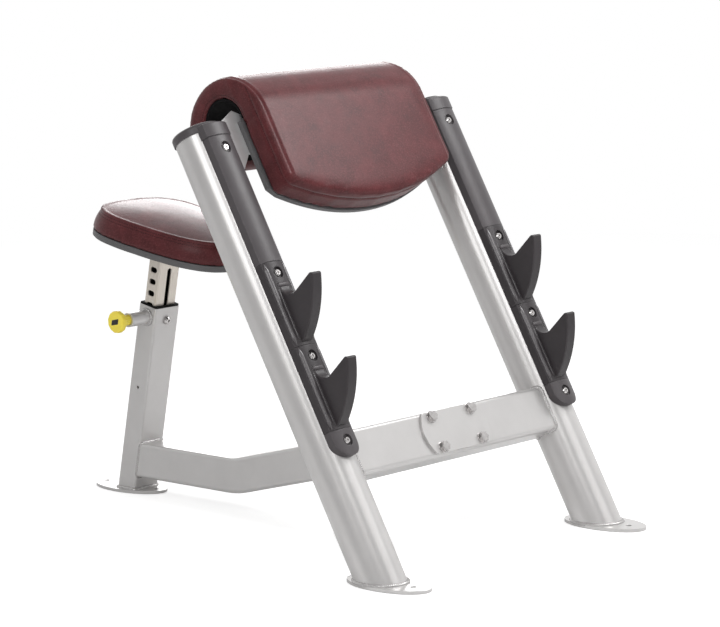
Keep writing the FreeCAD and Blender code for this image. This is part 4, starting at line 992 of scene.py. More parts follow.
@dataclass(frozen=True)
class Vinyl(Finish):
    """Coated upholstery fabric: pebbled grain in small cells, pale speckle of painted glints, soft creases
    and cloudy colour.
    """

    # Share and size of the pale speckle of painted glints
    painted_glint_share: float = 0.3
    painted_glint_size: float = 0.0032
    gloss_size: float = 0.004
    wave_size: float = 0.055
    wave_depth: float = 0.0007
    fine_share: float = 0.45

    def colouring(self, recipe: Recipe, edges: Socket | None) -> Socket:
        """Lay clouds of colour under a fine pale speckle of painted glints.

        Args:
            recipe: Recipe of the material.
            edges: Mask of 1 along sharp edges, of which a cover has none; not used.

        Returns:
            The colour.
        """
        cloud = recipe.span(recipe.noise(self.cloud_size, 4.0, 0.65), 0.32, 0.68)
        shade = recipe.blend(cloud, self.shade(-self.cloud_share), self.shade(self.cloud_share))
        # The pale speckle is painted glints: spots of reflected light on the pebbled grain
        speckle = recipe.span(recipe.noise(self.painted_glint_size, 5.0, 0.8), 0.5, 0.68)
        pale = linear([min(c * 1.45 + 40, BRIGHTEST) for c in self.colour])
        return recipe.blend(recipe.sum_of("MULTIPLY", speckle, self.painted_glint_share), shade, pale)

    def sheen(self, recipe: Recipe) -> Socket:
        """Roughness broken up by the grain."""
        grain = recipe.noise(self.gloss_size, 4.0, 0.7)
        return recipe.span(grain, *NOISE_BAND, self.roughness * 0.8, min(self.roughness * 1.2, 1))

    def surface(self, recipe: Recipe, under: Socket | None) -> Socket:
        """Lay soft waves of the foam, then pebbled cells, then fine grain.

        Args:
            recipe: Recipe of the material.
            under: Normal that these bend, if not the surface's own.

        Returns:
            The bent normal.
        """
        waves = recipe.relief(recipe.noise(self.wave_size, 2.0), self.wave_depth, under, 0.5)
        pebbles = recipe.relief(recipe.cells(self.grain_size), self.grain_depth, waves, 0.6)
        fine = recipe.noise(self.grain_size * self.fine_share, 3.0, 0.6)
        return recipe.relief(fine, self.grain_depth * 0.6, pebbles, 0.5)


# Each edge colour is lighter than its finish: partly wear, partly a painted highlight along edges
SILVER = Finish("silver_powder_coat", (202, 200, 199), 0.28, metallic=0.5, cloud_share=0.012,
                grain_size=0.0014, grain_depth=0.000002, gloss_drift=0.01, edge_wear_and_highlight_colour=(228, 227, 226),
                edge_wear_and_highlight_share=0.5)
TUBE_SILVER = replace(SILVER, label="silver_tube_powder_coat", edge_radius=0.0)
BRACKET_GREY = Finish("bracket_powder_coat", (206, 206, 206), 0.34, metallic=0.45, cloud_share=0.03,
                      grain_size=0.0014, grain_depth=0.000002, gloss_drift=0.01,
                      edge_wear_and_highlight_colour=(232, 232, 232))
WELD = Finish("painted_weld", (184, 182, 181), 0.26, metallic=0.55, cloud_share=0.07, cloud_size=0.006,
              grain_size=0.0012, grain_depth=0.0001, edge_radius=0.0)
CHARCOAL = Finish("charcoal_moulding", (76, 72, 74), 0.36, specular=0.3, cloud_share=0.04,
                  grain_size=0.0008, grain_depth=0.00002, edge_radius=0.0028,
                  edge_wear_and_highlight_colour=(132, 129, 130), edge_wear_and_highlight_share=0.4)
CATCH_BLACK = Finish("black_moulding", (55, 51, 53), 0.34, specular=0.3, cloud_share=0.05,
                     grain_size=0.0008, grain_depth=0.00002, edge_radius=0.0024,
                     edge_wear_and_highlight_colour=(112, 109, 110), edge_wear_and_highlight_share=0.45)
SHELL_GREY = Finish("grey_shell_moulding", (98, 97, 98), 0.48, specular=0.3, cloud_share=0.04,
                    grain_size=0.0008, grain_depth=0.00006, edge_wear_and_highlight_colour=(130, 130, 132))
MOULDED_RAIL = Finish("glossy_moulded_edge", (80, 76, 78), 0.26, specular=0.75, cloud_share=0.04,
                      grain_size=0.0008, grain_depth=0.00001, edge_radius=0.0)
# Near-black lining: its own dark colour, deepened as painted shade of the roll's bore; the seat post's liner
# uses it too
LINER_BLACK_WITH_BORE_SHADE = Finish("black_lining_with_bore_shade", (13, 12, 13), 0.7, specular=0.12, cloud_share=0.1,
                     grain_size=0.0009, grain_depth=0.00008, edge_wear_and_highlight_colour=(48, 48, 50))
# The slide's warm beige tint is partly painted reflection of a warm room, over the steel's own pale grey
SLIDE_STEEL = BrushedSteel("drawn_slide_steel", (224, 216, 206), 0.3, metallic=0.55, cloud_share=0.05,
                           grain_depth=0.00002, edge_radius=0.0008)
# The chrome's small clouds of lighter and darker metal: partly the plating's own tone, partly painted
# reflection
CHROME = Finish("bright_chrome_plate", (204, 201, 200), 0.12, metallic=1.0, cloud_share=0.06,
                cloud_size=0.01, grain_size=0.002, grain_depth=0.000004, edge_radius=0.0006)
KNOB_YELLOW = Finish("yellow_moulding", (255, 230, 84), 0.33, specular=0.4, cloud_share=0.015,
                     cloud_size=0.02, grain_size=0.0007, grain_depth=0.00002, edge_radius=0.0)
INSET_BLACK = Finish("black_inset", (26, 25, 26), 0.3, specular=0.5, cloud_share=0.06, cloud_size=0.01,
                     edge_radius=0.0004, edge_wear_and_highlight_colour=(70, 70, 70))
MAROON = Vinyl("maroon_vinyl", (83, 39, 41), 0.33, specular=0.19, cloud_share=0.12, cloud_size=0.045,
               grain_size=0.0026, grain_depth=0.00012, edge_radius=0.0)
THREAD = Finish("dark_thread", (44, 24, 27), 0.7, specular=0.2, cloud_share=0.15, cloud_size=0.004,
                grain_size=0.0004, grain_depth=0.00008, edge_radius=0.0)


# Sub-assemblies


class SubAssembly:
    """Part of the bench that dresses its own solids and adds its own pieces."""

    finishes: dict[str, Finish] = {}

    def dress(self) -> None:
        """Give each of the sub-assembly's solids its finish."""
        for node, finish in self.finishes.items():
            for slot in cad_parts[node].material_slots:
                slot.material = finish.material()
            LOG.info("dressed %s in %s", node, finish.label)

    def add(self, piece: Thing, body: Body, slot: str, finish: Finish) -> Thing:
        """Finish a new piece and let it ride.

        Args:
            piece: The new piece.
            body: Body that it moves with.
            slot: Not used.
            finish: Its finish.

        Returns:
            The piece.
        """
        piece.data.materials.clear()
        piece.data.materials.append(finish.material())
        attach(piece, body.value)
        LOG.info("made %s with %d faces", piece.name, len(piece.data.polygons))
        return piece

    def weld(self, name: str, seams: Sequence[Seam], bead: Bead = Bead()) -> None:
        """Lay a painted weld on the fixed frame."""
        self.add(bead.laid(name, seams), Body.FRAME, "frame_silver", WELD)

    def build(self) -> None:
        """Make the sub-assembly's own pieces."""


@dataclass
class FrontFrame(SubAssembly):
    """Uprights on their floor plates, the crossbeam between them, and the welds that hold these."""

    half_spacing: float = HALF_SPACING
    tube_radius: float = TUBE_RADIUS
    foot_thickness: float = 0.007
    beam_climb: float = 0.2713
    beam_half_height: float = 0.0508
    beam_half_depth: float = 0.0325
    beam_corner: float = 0.01
    bead_stand: float = 0.0012
    beam_bead: Bead = Bead(0.0036, 0.0022)
    finishes: dict[str, Finish] = field(default_factory=lambda: {
        "left_front_foot": SILVER, "right_front_foot": SILVER, "left_upright_tube": TUBE_SILVER,
        "right_upright_tube": TUBE_SILVER, "crossbeam": SILVER})

    def foot_weld(self, way: Way) -> Seam:
        """Weld round an upright where it stands on its floor plate.

        The seam is the ellipse in which the leaning tube meets the plate: its half axes are the tube's radius
        and the radius over the cosine of the lean.

        Args:
            way: Side of the bench.

        Returns:
            Path, lift, and True, because the seam is closed.
        """
        turn = round_turns(360)
        reach = self.tube_radius + self.bead_stand
        middle = RAKE.foot + self.foot_thickness * math.tan(RAKE.lean)
        path = np.stack([way.value * self.half_spacing + reach * np.cos(turn),
                         middle + reach / math.cos(RAKE.lean) * np.sin(turn),
                         np.full_like(turn, self.foot_thickness + self.bead_stand)], axis=1)
        lift = np.stack([np.cos(turn), np.sin(turn), np.ones_like(turn)], axis=1)
        path = evenly(path, WELD_STEP, True)
        spots = np.linspace(0, len(lift), len(path), endpoint=False)
        wrapped = np.vstack([lift, lift[:1]])
        places = np.arange(len(wrapped))
        lift = np.stack([np.interp(spots, places, wrapped[:, axis]) for axis in range(3)], axis=1)
        return path, unit_rows(lift), True

    def beam_weld(self, way: Way) -> Seam:
        """Weld round the coped end of the crossbeam.

        The seam is the beam's rounded outline laid on the tube: X is the tube's place less the root of the
        radius squared less the stand squared.

        Args:
            way: Side of the bench.

        Returns:
            Path, lift, and True, because the seam is closed.
        """
        stand = self.bead_stand
        outline = rounded_box_path(self.beam_half_depth + stand, self.beam_half_height + stand,
                                   self.beam_corner + stand)
        out, rise = outline[:, 0], outline[:, 1]
        reach = self.tube_radius + self.bead_stand
        across = way.value * (self.half_spacing - np.sqrt(reach ** 2 - out ** 2))
        path = RAKE.world(across, out, self.beam_climb + rise)
        path = evenly(path, WELD_STEP, True)
        middle = RAKE.world(way.value * (self.half_spacing - reach), 0.0, self.beam_climb)
        lift = unit_rows(path - middle) - np.array([LIFT_SHARE * way.value, 0, 0])
        return path, unit_rows(lift), True

    def build(self) -> None:
        """Weld beads at the floor plates and at both ends of the crossbeam."""
        self.weld("front_foot_welds", [self.foot_weld(way) for way in Way])
        self.weld("crossbeam_welds", [self.beam_weld(way) for way in Way], self.beam_bead)


@dataclass
class Guards(SubAssembly):
    """Plastic guards, catches, caps and their screws, and the rails moulded along the catches."""

    half_spacing: float = HALF_SPACING
    crown_radius: float = 0.0683
    crown_centre: float = 0.0023
    catch_foot: float = 0.3173
    catch_pitch: float = 0.1872
    outer_rail: float = 0.0268
    inner_rib: float = 0.0176
    lip_half_width: float = 0.0172
    lip_climb: float = 0.1345
    rail_gap: float = 0.003
    rib_low: float = 0.01
    rib_high: float = 0.128
    rail_bead: Bead = Bead(0.0054, 0.0030, 0.0)
    rib_bead: Bead = Bead(0.0015, 0.0018, 0.0)
    lip_bead: Bead = Bead(0.0052, 0.0028, 0.0)
    finishes: dict[str, Finish] = field(default_factory=lambda: {
        **{f"{side}_{part}": finish for side in ("left", "right")
           for part, finish in (("guard", CHARCOAL), ("top_cap", CHARCOAL), ("guard_end", CHARCOAL),
                                ("upper_catch", CATCH_BLACK), ("lower_catch", CATCH_BLACK))},
        "guard_screws": CHROME})

    def rail(self, way: Way, across: float, low: float, high: float) -> Seam:
        """Draw a line up the crown of a catch.

        The crown stands off the upright by the root of its radius squared less the square of the place
        across, less its centre.

        Args:
            way: Side of the bench.
            across: Place across the catch.
            low: Foot of the line.
            high: Top of the line.

        Returns:
            Path, lift, and False, because the line is open.
        """
        stand = math.sqrt(self.crown_radius ** 2 - across ** 2)
        climbs = np.linspace(low, high, 40)
        path = RAKE.world(way.value * self.half_spacing + across, stand - self.crown_centre, climbs)
        lift = np.array([across, 0, 0]) + stand * RAKE.facing()
        return path, np.tile(unit_rows(lift), (len(path), 1)), False

    def lip(self, way: Way, climb: float) -> Seam:
        """Draw a line across the crown of a catch.

        Args:
            way: Side of the bench.
            climb: How far up the upright it lies.

        Returns:
            Path, lift, and False, because the line is open.
        """
        across = np.linspace(-self.lip_half_width, self.lip_half_width, 30)
        stand = np.sqrt(self.crown_radius ** 2 - across ** 2)
        path = RAKE.world(way.value * self.half_spacing + across, stand - self.crown_centre, climb)
        lift = across[:, None] * np.array([1.0, 0, 0]) + stand[:, None] * RAKE.facing()
        return path, unit_rows(lift), False

    def build(self) -> None:
        """Rails along both edges of each catch, fine ribs beside its fin, and the lip over the fin's root."""
        for way in Way:
            rails, ribs, lips = [], [], []
            for number in range(2):
                foot = self.catch_foot + number * self.catch_pitch
                top = foot + self.catch_pitch
                lips.append(self.lip(way, foot + self.lip_climb))
                for side in (-1, 1):
                    rails.append(self.rail(way, side * self.outer_rail, foot + self.rail_gap,
                                           top - self.rail_gap))
                    ribs.append(self.rail(way, side * self.inner_rib, foot + self.rib_low,
                                          foot + self.rib_high))
            for part, seams, bead, finish in (("rails", rails, self.rail_bead, MOULDED_RAIL),
                                              ("ribs", ribs, self.rib_bead, MOULDED_RAIL),
                                              ("lips", lips, self.lip_bead, CHARCOAL)):
                piece = bead.laid(f"{way.name.lower()}_catch_{part}", seams)
                self.add(piece, Body.FRAME, "catch_black", finish)


@dataclass
class BoltedJoint(SubAssembly):
    """Plates, bolts, washers and nuts that hold the spine to the crossbeam."""

    finishes: dict[str, Finish] = field(default_factory=lambda: {
        "crossbeam_bolt_plate": SILVER, "spine_end_plate": SILVER, "crossbeam_bolts": CHROME,
        "crossbeam_washers": CHROME, "crossbeam_nuts": CHROME})


@dataclass
class SpineAndPost(SubAssembly):
    """Bent spine, rear floor plate and seat post with its liner and stop bolt, and their welds."""

    spine_half_width: float = 0.038
    spine_half_depth: float = 0.0403
    spine_height: float = 0.0773
    spine_corner: float = 0.009
    bend_place: float = 0.1875
    spine_rise: float = math.radians(14.3)
    end_plate_face: float = -0.0385
    post_half_width: float = 0.038
    post_half_depth: float = 0.028
    post_corner: float = 0.006
    foot_thickness: float = 0.007
    bead_stand: float = 0.001
    rear_bead: Bead = Bead(0.0038, 0.0022)
    plate_bead: Bead = Bead(0.004, 0.0024)
    finishes: dict[str, Finish] = field(default_factory=lambda: {
        "rear_spine_tube": SILVER, "rear_foot": SILVER, "seat_post_outer": SILVER,
        "seat_post_liner": LINER_BLACK_WITH_BORE_SHADE, "travel_stop_bolt": CHROME, "seat_post_inner": SLIDE_STEEL})

    def foot_weld(self) -> Seam:
        """Weld round the seat post on its floor plate: the post's outline, stretched by its lean.

        Returns:
            Path, lift, and True, because the seam is closed.
        """
        stand = self.bead_stand
        outline = rounded_box_path(self.post_half_width + stand,
                                   (self.post_half_depth + stand) / math.cos(POST.lean), self.post_corner)
        middle = np.array([0, POST.foot + self.foot_thickness * math.tan(POST.lean),
                           self.foot_thickness + stand])
        path = evenly(middle + np.column_stack([outline, np.zeros(len(outline))]), WELD_STEP, True)
        lift = unit_rows(path - middle) + np.array([0, 0, STEEP_LIFT_SHARE])
        return path, unit_rows(lift), True

    def post_weld(self) -> Seam:
        """Weld round the spine's rear end: the spine's outline, laid on the front of the leaning post.

        Returns:
            Path, lift, and True, because the seam is closed.
        """
        outline = rounded_box_path(self.spine_half_width - self.bead_stand,
                                   self.spine_half_depth + self.bead_stand, self.spine_corner)
        height = self.spine_height + outline[:, 1]
        stand = self.post_half_depth + self.bead_stand
        climb = (height - stand * math.sin(POST.lean)) / math.cos(POST.lean)
        path = evenly(POST.world(outline[:, 0], stand, climb), WELD_STEP, True)
        lift = unit_rows(path - path.mean(axis=0)) + LIFT_SHARE * POST.facing()
        return path, unit_rows(lift), True

    def plate_weld(self) -> Seam:
        """Weld round the spine's front end: its outline carried along the rising run to the end plate.

        A point moves along the run by its distance to the plate over the run's share of the plate's facing.

        Returns:
            Path, lift, and True, because the seam is closed.
        """
        outline = rounded_box_path(self.spine_half_width + self.bead_stand,
                                   self.spine_half_depth + self.bead_stand, self.spine_corner)
        along = np.array([0, -math.cos(self.spine_rise), math.sin(self.spine_rise)])
        upward = np.array([0, math.sin(self.spine_rise), math.cos(self.spine_rise)])
        start = (np.array([0, self.bend_place, self.spine_height]) + outline[:, :1] * np.array([1, 0, 0])
                 + outline[:, 1:] * upward)
        facing = RAKE.facing()
        gap = self.end_plate_face - self.bead_stand - (start - RAKE.world(0.0, 0.0, 0.0)) @ facing
        path = evenly(start + (gap / (along @ facing))[:, None] * along, WELD_STEP, True)
        lift = unit_rows(path - path.mean(axis=0)) - LIFT_SHARE * facing
        return path, unit_rows(lift), True

    def build(self) -> None:
        """Weld beads of the spine and the post."""
        self.weld("rear_foot_weld", [self.foot_weld()])
        self.weld("spine_rear_weld", [self.post_weld()], self.rear_bead)
        self.weld("spine_front_weld", [self.plate_weld()], self.plate_bead)


@dataclass
class PullPin(SubAssembly):
    """Sprung pin that locks the seat's height: welded barrel, plunger, coil spring and yellow knob."""

    centre_y: float = 0.4528
    centre_z: float = 0.4154
    post_side: float = 0.038
    barrel_radius: float = 0.0165
    neck_start: float = 0.087
    neck_end: float = 0.121
    knob_end: float = 0.136
    neck_radius: float = 0.012
    knob_radius: float = 0.0255
    spring_low: float = 0.0589
    spring_high: float = 0.0794
    spring_radius: float = 0.0114
    wire_radius: float = 0.0007
    spring_turns: float = 5.5
    lobes: int = 12
    neck_waist_share: float = 1 / 12
    rim_waist_share: float = 1 / 34
    flare_rise: float = 0.007
    flare_length: float = 0.0085
    low_round: float = 0.0015
    low_round_length: float = 0.002
    low_round_place: float = 0.0035
    high_round: float = 0.0045
    face_start: float = 0.006
    pole_radius: float = 0.001
    inset_half_width: float = 0.011
    inset_half_height: float = 0.0064
    inset_corner: float = 0.0016
    bead_stand: float = 0.001
    weld_step: float = 0.0008
    bead: Bead = Bead(0.0042, 0.003)
    finishes: dict[str, Finish] = field(default_factory=lambda: {
        "pull_pin_barrel": SILVER, "pull_pin_plunger": CHROME})

    def middle(self) -> Array:
        """Point on the pin's axis in the middle of the bench."""
        return np.array([0, self.centre_y, self.centre_z])

    def knob_profile(self) -> list[Array]:
        """Draw the knob from the foot of its neck to its face.

        The flare is a quarter of an ellipse between the neck and the rim, and each rim is a quarter round.

        Returns:
            Places along the pin and radii: foot, neck, flare, low rim, high rim and face.
        """
        neck, wide, start, face, end = (self.neck_radius, self.knob_radius, self.neck_start, self.neck_end,
                                        self.knob_end)
        flare, rim = np.linspace(0, math.pi / 2, 7), np.linspace(0, math.pi / 2, 8)
        flare_foot, low, high = face - self.flare_rise, self.low_round, self.high_round
        return [
            np.array([[start, self.pole_radius], [start, neck * 0.7]]),
            np.column_stack([start + (flare_foot - start) * np.linspace(0, 1, 6), np.full(6, neck)]),
            np.column_stack([flare_foot + self.flare_length * np.sin(flare),
                             neck + (wide - low - neck) * (1 - np.cos(flare))])[1:],
            np.column_stack([face + self.low_round_place - self.low_round_length * np.cos(rim),
                             wide - low + low * np.sin(rim)]),
            np.column_stack([end - high + high * np.sin(rim), wide - high + high * np.cos(rim)]),
            np.column_stack([np.full(5, end), np.linspace(wide - self.face_start, self.pole_radius, 5)])]

    def knob(self) -> Thing:
        """Turn the knob on its neck from a profile.

        The neck and the rim are drawn in between their lobes by up to their waist share, by the square of the
        sine of the turn times half the count of lobes.

        Returns:
            The knob.
        """
        parts = self.knob_profile()
        foot, neck, face = len(parts[0]), len(parts[1]), len(parts[-1])
        profile = np.vstack(parts)
        deep = np.full(len(profile), self.rim_waist_share)
        deep[:foot + neck] = self.neck_waist_share
        deep[:foot] = 0
        deep[-face:] *= np.linspace(0.8, 0, face)

        def waist(turn: Array, row: Array) -> Array:
            """Share of the radius at a turn and a row."""
            return 1 - deep[row] * np.sin(turn * self.lobes / 2) ** 2

        return turned_piece("pull_knob", self.middle(), np.array([-1.0, 0, 0]), profile, 168, waist)

    def inset(self) -> Thing:
        """Set a bare dark plate into the knob's flat face, with rounded corners and a rounded rim.

        Returns:
            The plate.
        """
        rows = []
        up = np.array([0, math.sin(POST.lean), math.cos(POST.lean)])
        over = np.array([0, math.cos(POST.lean), math.sin(POST.lean)])
        for shrink, lift in ((0.0, -0.0006), (0.0, 0.0001), (0.0002, 0.0003), (0.0009, 0.0004)):
            outline = rounded_box_path(self.inset_half_width - shrink, self.inset_half_height - shrink,
                                       self.inset_corner)
            place = self.middle() + np.array([-(self.knob_end + lift), 0, 0])
            rows.append(place + outline[:, :1] * over + outline[:, 1:] * up)
        points = np.stack(rows)
        return lay_mesh("pull_knob_inset", points, tube_faces(len(rows), points.shape[1], False))

    def spring(self) -> Thing:
        """Coil a spring: a round wire carried along a helix.

        Returns:
            The spring.
        """
        count, sides = 200, 8
        share = np.linspace(0, 1, count)
        turn = share * self.spring_turns * FULL_TURN
        rise = self.spring_high - self.spring_low - 2 * self.wire_radius
        spoke = np.stack([np.zeros(count), np.cos(turn), np.sin(turn)], axis=1)
        path = self.middle() + (self.spring_radius - self.wire_radius) * spoke
        path[:, 0] = -(self.spring_low + self.wire_radius + rise * share)
        over = unit_rows(np.cross(tangents(path, False), spoke))
        ring = round_turns(sides)[None, :, None]
        wire = self.wire_radius * (np.cos(ring) * spoke[:, None] + np.sin(ring) * over[:, None])
        return lay_mesh("pull_pin_coil", path[:, None] + wire, tube_faces(count, sides, False))

    def barrel_weld(self) -> Seam:
        """Weld a ring round the barrel on the post's side.

        Returns:
            Path, lift, and True, because the seam is closed.
        """
        turn = round_turns(360)
        spoke = np.stack([np.zeros_like(turn), np.cos(turn), np.sin(turn)], axis=1)
        ring = self.middle() + (self.barrel_radius + self.bead_stand) * spoke
        ring[:, 0] = -(self.post_side + self.bead_stand)
        path = evenly(ring, self.weld_step, True)
        off_axis = (path - self.middle()) * [0, 1, 1]
        return path, unit_rows(unit_rows(off_axis) - np.array([STEEP_LIFT_SHARE, 0, 0])), True

    def build(self) -> None:
        """Knob, its bare inset, coil spring and the barrel's weld."""
        knob = self.add(self.knob(), Body.PULL_PIN, "knob_yellow", KNOB_YELLOW)
        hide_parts("pull_pin_knob")
        self.add(self.inset(), Body.PULL_PIN, "catch_black", INSET_BLACK)
        coil = self.add(self.spring(), Body.FRAME, "bright_chrome", CHROME)
        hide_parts("pull_pin_spring")
        self.weld("barrel_weld", [self.barrel_weld()], self.bead)


@dataclass
class Seat(SubAssembly):
    """Seat pan with its fastenings, and the crowned cushion with its stitched rim."""

    centre: float = 0.0357
    half_length: float = 0.19325
    half_width: float = 0.1397
    flare: float = 0.0235
    corner_power: float = 2.9
    floor: float = 0.6098
    edge_height: float = 0.0487
    pressed: float = 0.91
    crown: float = 0.0135
    ridge_inset: float = 0.014
    ridge_width: float = 0.0045
    ridge_raise: float = 0.0018
    furrow_width: float = 0.003
    # Shares of the edge's height and of the ridge's inset, and depth, of each stitched line
    stitched_lines: tuple[tuple[float, float, float], ...] = ((0.9, 0.8, 0.0016), (0.79, 0.6, 0.0006))
    dome_start: float = 0.85
    dome_fade: float = 0.06
    rest_height: float = 0.008
    outline_step: float = 0.0015
    stitch: Stitch = Stitch()
    stuffing: Stuffing = Stuffing(voxel=0.0045, shrink=0.0012, most=0.003, smoothing=1)
    finishes: dict[str, Finish] = field(default_factory=lambda: {
        "seat_base": SHELL_GREY, "seat_mount_plate": SILVER, "seat_bolts": CHROME})

    def outline(self, inset: float, rise: float) -> Array:
        """Closed line round the cushion: a superellipse that widens towards the rear.

        Args:
            inset: Distance in from the widest outline.
            rise: Height over the pan.

        Returns:
            Points, one row each.
        """
        turn = round_turns(720)
        power = 2 / self.corner_power
        along = np.sign(np.sin(turn)) * np.abs(np.sin(turn)) ** power
        across = np.sign(np.cos(turn)) * np.abs(np.cos(turn)) ** power
        half = self.half_width + self.flare * along - inset
        behind = (self.half_length - inset) * along - self.centre
        return evenly(POST.world(half * across, -behind, self.floor + rise), self.outline_step, True)

    def free(self, places: Array) -> Array:
        """How free the cushion's points are: not at all where it rests on the pan, fully a little above."""
        climb = (places - np.array([0, POST.foot, 0])) @ POST.rising()
        return np.clip((climb - self.floor) / self.rest_height, 0, 1)

    def press_down(self, cover: Thing) -> None:
        """Lower the cushion a little and lay an even dome over its top.

        Each point's height over the pan is multiplied by one share. Inside the ridge the height then becomes
        the ridge's height plus the crown times one less the square of the place's share of the way out.

        Args:
            cover: The cushion's cover.
        """
        places, _ = read_shape(cover)
        from_foot = places - np.array([0, POST.foot, 0])
        over = from_foot @ POST.rising() - self.floor
        along = (self.centre - from_foot @ POST.facing()) / (self.half_length - self.ridge_inset)
        half = self.half_width + self.flare * np.clip(along, -1, 1) - self.ridge_inset
        out = (np.abs(along) ** self.corner_power + np.abs(places[:, 0] / half) ** self.corner_power)
        out = out ** (1 / self.corner_power)
        lowered = np.maximum(over, 0) * self.pressed
        dome = self.edge_height + self.crown * (1 - out ** 2)
        near_top = np.clip((over / self.edge_height - self.dome_start) / (1 - self.dome_start), 0, 1)
        share = near_top * np.clip((1.0 - out) / self.dome_fade, 0, 1)
        wanted = lowered + (dome - lowered) * share
        write_shape(cover, places + (wanted - np.maximum(over, 0))[:, None] * POST.rising())

    def build(self) -> None:
        """Cushion cover with two stitched lines under its ridge."""
        cover = self.stuffing.fill("seat_cushion", "seat_cover", self.free)
        self.add(cover, Body.SEAT, "vinyl_maroon", MAROON)
        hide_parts("seat_cushion")
        self.press_down(cover)
        ridge, _ = settle(cover, self.outline(self.ridge_inset, self.edge_height), True)
        press_line(cover, ridge, self.ridge_width, -self.ridge_raise)
        for number, (rise, inset, depth) in enumerate(self.stitched_lines, start=1):
            line = self.outline(self.ridge_inset * inset, self.edge_height * rise)
            path, _ = settle(cover, line, True)
            press_line(cover, path, self.furrow_width, depth)
            spots, lift = settle(cover, evenly(path, self.stitch.pitch, True), True)
            row = self.stitch.strung(f"seat_stitches_{number}", spots, lift, True)
            self.add(row, Body.SEAT, "vinyl_maroon", THREAD)


@dataclass
class ArmPad(SubAssembly):
    """Rolled arm pad: stitched cover over its foam, shell, lining of the open roll, brackets and bolts."""

    half_width: float = 0.258
    back_stand: float = 0.045
    seam_stand: float = 0.088
    front_stand: float = 0.1105
    seam_foot: float = 0.784
    front_foot: float = 0.794
    seam_arch: float = 0.5605
    front_arch: float = 0.596
    corner_radius: float = 0.018
    roll_climb: float = 1.0112
    roll_radius: float = 0.1175
    bore_radius: float = 0.057
    bore_back: float = 0.012
    bore_up: float = 0.0135
    lip_drop: float = 0.101
    # Inset from the pad's end and depth of the piping, its furrow and the ridge inside it
    border_lines: tuple[tuple[float, float], ...] = ((0.0025, -0.0009), (0.0105, 0.0016), (0.0185, -0.0009))
    border_width: float = 0.0035
    foot_margin: float = 0.006
    lip_margin: float = 0.02
    ring_margin: float = 0.007
    end_seam_drop: float = 0.005
    end_seam_start: float = 0.036
    touch: float = 0.001
    bore_touch: float = 0.002
    easing: float = 0.012
    lip_slack: float = 0.01
    furrow_width: float = 0.003
    rim_depth: float = 0.0018
    end_depth: float = 0.0014
    ring_depth: float = 0.0012
    bead_stand: float = 0.001
    bracket_bead: Bead = Bead(0.0032, 0.0022)
    stitch: Stitch = Stitch(length=0.0037, radius=0.00065)
    bracket_back: float = 0.0277
    bracket_face: float = 0.0337
    bracket_low: float = 0.852
    bracket_high: float = 0.998
    tube_place: float = HALF_SPACING
    tube_radius: float = TUBE_RADIUS
    stuffing: Stuffing = Stuffing(voxel=0.006, shrink=0.0016, most=0.0036, smoothing=2)
    finishes: dict[str, Finish] = field(default_factory=lambda: {
        "left_pad_bracket": BRACKET_GREY, "right_pad_bracket": BRACKET_GREY, "pad_shell": SHELL_GREY,
        "roll_liner": LINER_BLACK_WITH_BORE_SHADE, "pad_bolts": CHROME})

    def roll_centre(self) -> Array:
        """Middle of the roll's round, at the middle of the bench."""
        return RAKE.world(0.0, self.front_stand - self.roll_radius, self.roll_climb)

    def bore_centre(self) -> Array:
        """Middle of the open bore, at the middle of the bench."""
        return self.roll_centre() + np.array([0, self.bore_back, self.bore_up])

    def free(self, places: Array) -> Array:
        """Tell how free the cover's points are: held at the shell and round the bore, free a little off.

        Args:
            places: Points of the cover.

        Returns:
            Share of 0 to 1 for each.
        """
        out = (places - RAKE.world(0.0, 0.0, 0.0)) @ RAKE.facing()
        off_shell = np.clip((out - self.back_stand - self.touch) / self.easing, 0, 1)
        spoke = places[:, 1:] - self.bore_centre()[1:]
        gap = np.linalg.norm(spoke, axis=1) - self.bore_radius - self.bore_touch
        off_bore = np.clip(gap / self.easing, 0, 1)
        high = places[:, 2] > self.roll_centre()[2] - self.lip_drop - self.lip_slack
        behind = out < self.back_stand
        return np.where(behind & high, off_bore, np.minimum(off_shell, off_bore))

    def over_roll(self, across: float) -> Array:
        """Line from the pad's lower edge up its face, round the roll and down the lip.

        Args:
            across: Distance from the middle of the bench.

        Returns:
            Points along the line.
        """
        foot = self.front_foot + across ** 2 / (2 * self.front_arch) + self.foot_margin
        climbs = np.linspace(foot, self.roll_climb, 90)
        face = RAKE.world(across, self.front_stand, climbs)
        turn = np.linspace(math.pi - RAKE.lean, 0, 120)
        centre = self.roll_centre()
        reach = self.roll_radius
        round_part = np.stack([np.full_like(turn, across), centre[1] + reach * np.cos(turn),
                               centre[2] + reach * np.sin(turn)], axis=1)
        down = np.linspace(centre[2], centre[2] - self.lip_drop + self.lip_margin, 30)
        lip = np.stack([np.full_like(down, across), np.full_like(down, centre[1] + reach), down], axis=1)
        return evenly(np.vstack([face, round_part[1:], lip[1:]]), SEAM_STEP, False)

    def rim_seam(self) -> Array:
        """Run a seam from the roll down one end, along the belly and up the other end.

        The belly is a shallow arch: its climb grows by the square of the place across over twice the arch.

        Returns:
            Points along the seam.
        """
        off_roll = self.seam_stand - self.front_stand + self.roll_radius
        top = self.roll_climb + math.sqrt(self.roll_radius ** 2 - off_roll ** 2)
        corner = self.half_width - self.corner_radius
        side_foot = self.seam_foot + corner ** 2 / (2 * self.seam_arch) + self.corner_radius
        climbs = np.linspace(top, side_foot, 60)
        across = np.linspace(-corner, corner, 160)
        belly = self.seam_foot + across ** 2 / (2 * self.seam_arch)
        path = np.vstack([RAKE.world(-self.half_width, self.seam_stand, climbs),
                          RAKE.world(across, self.seam_stand, belly),
                          RAKE.world(self.half_width, self.seam_stand, climbs[::-1])])
        return eased(evenly(path, SEAM_STEP, False), 6, False)

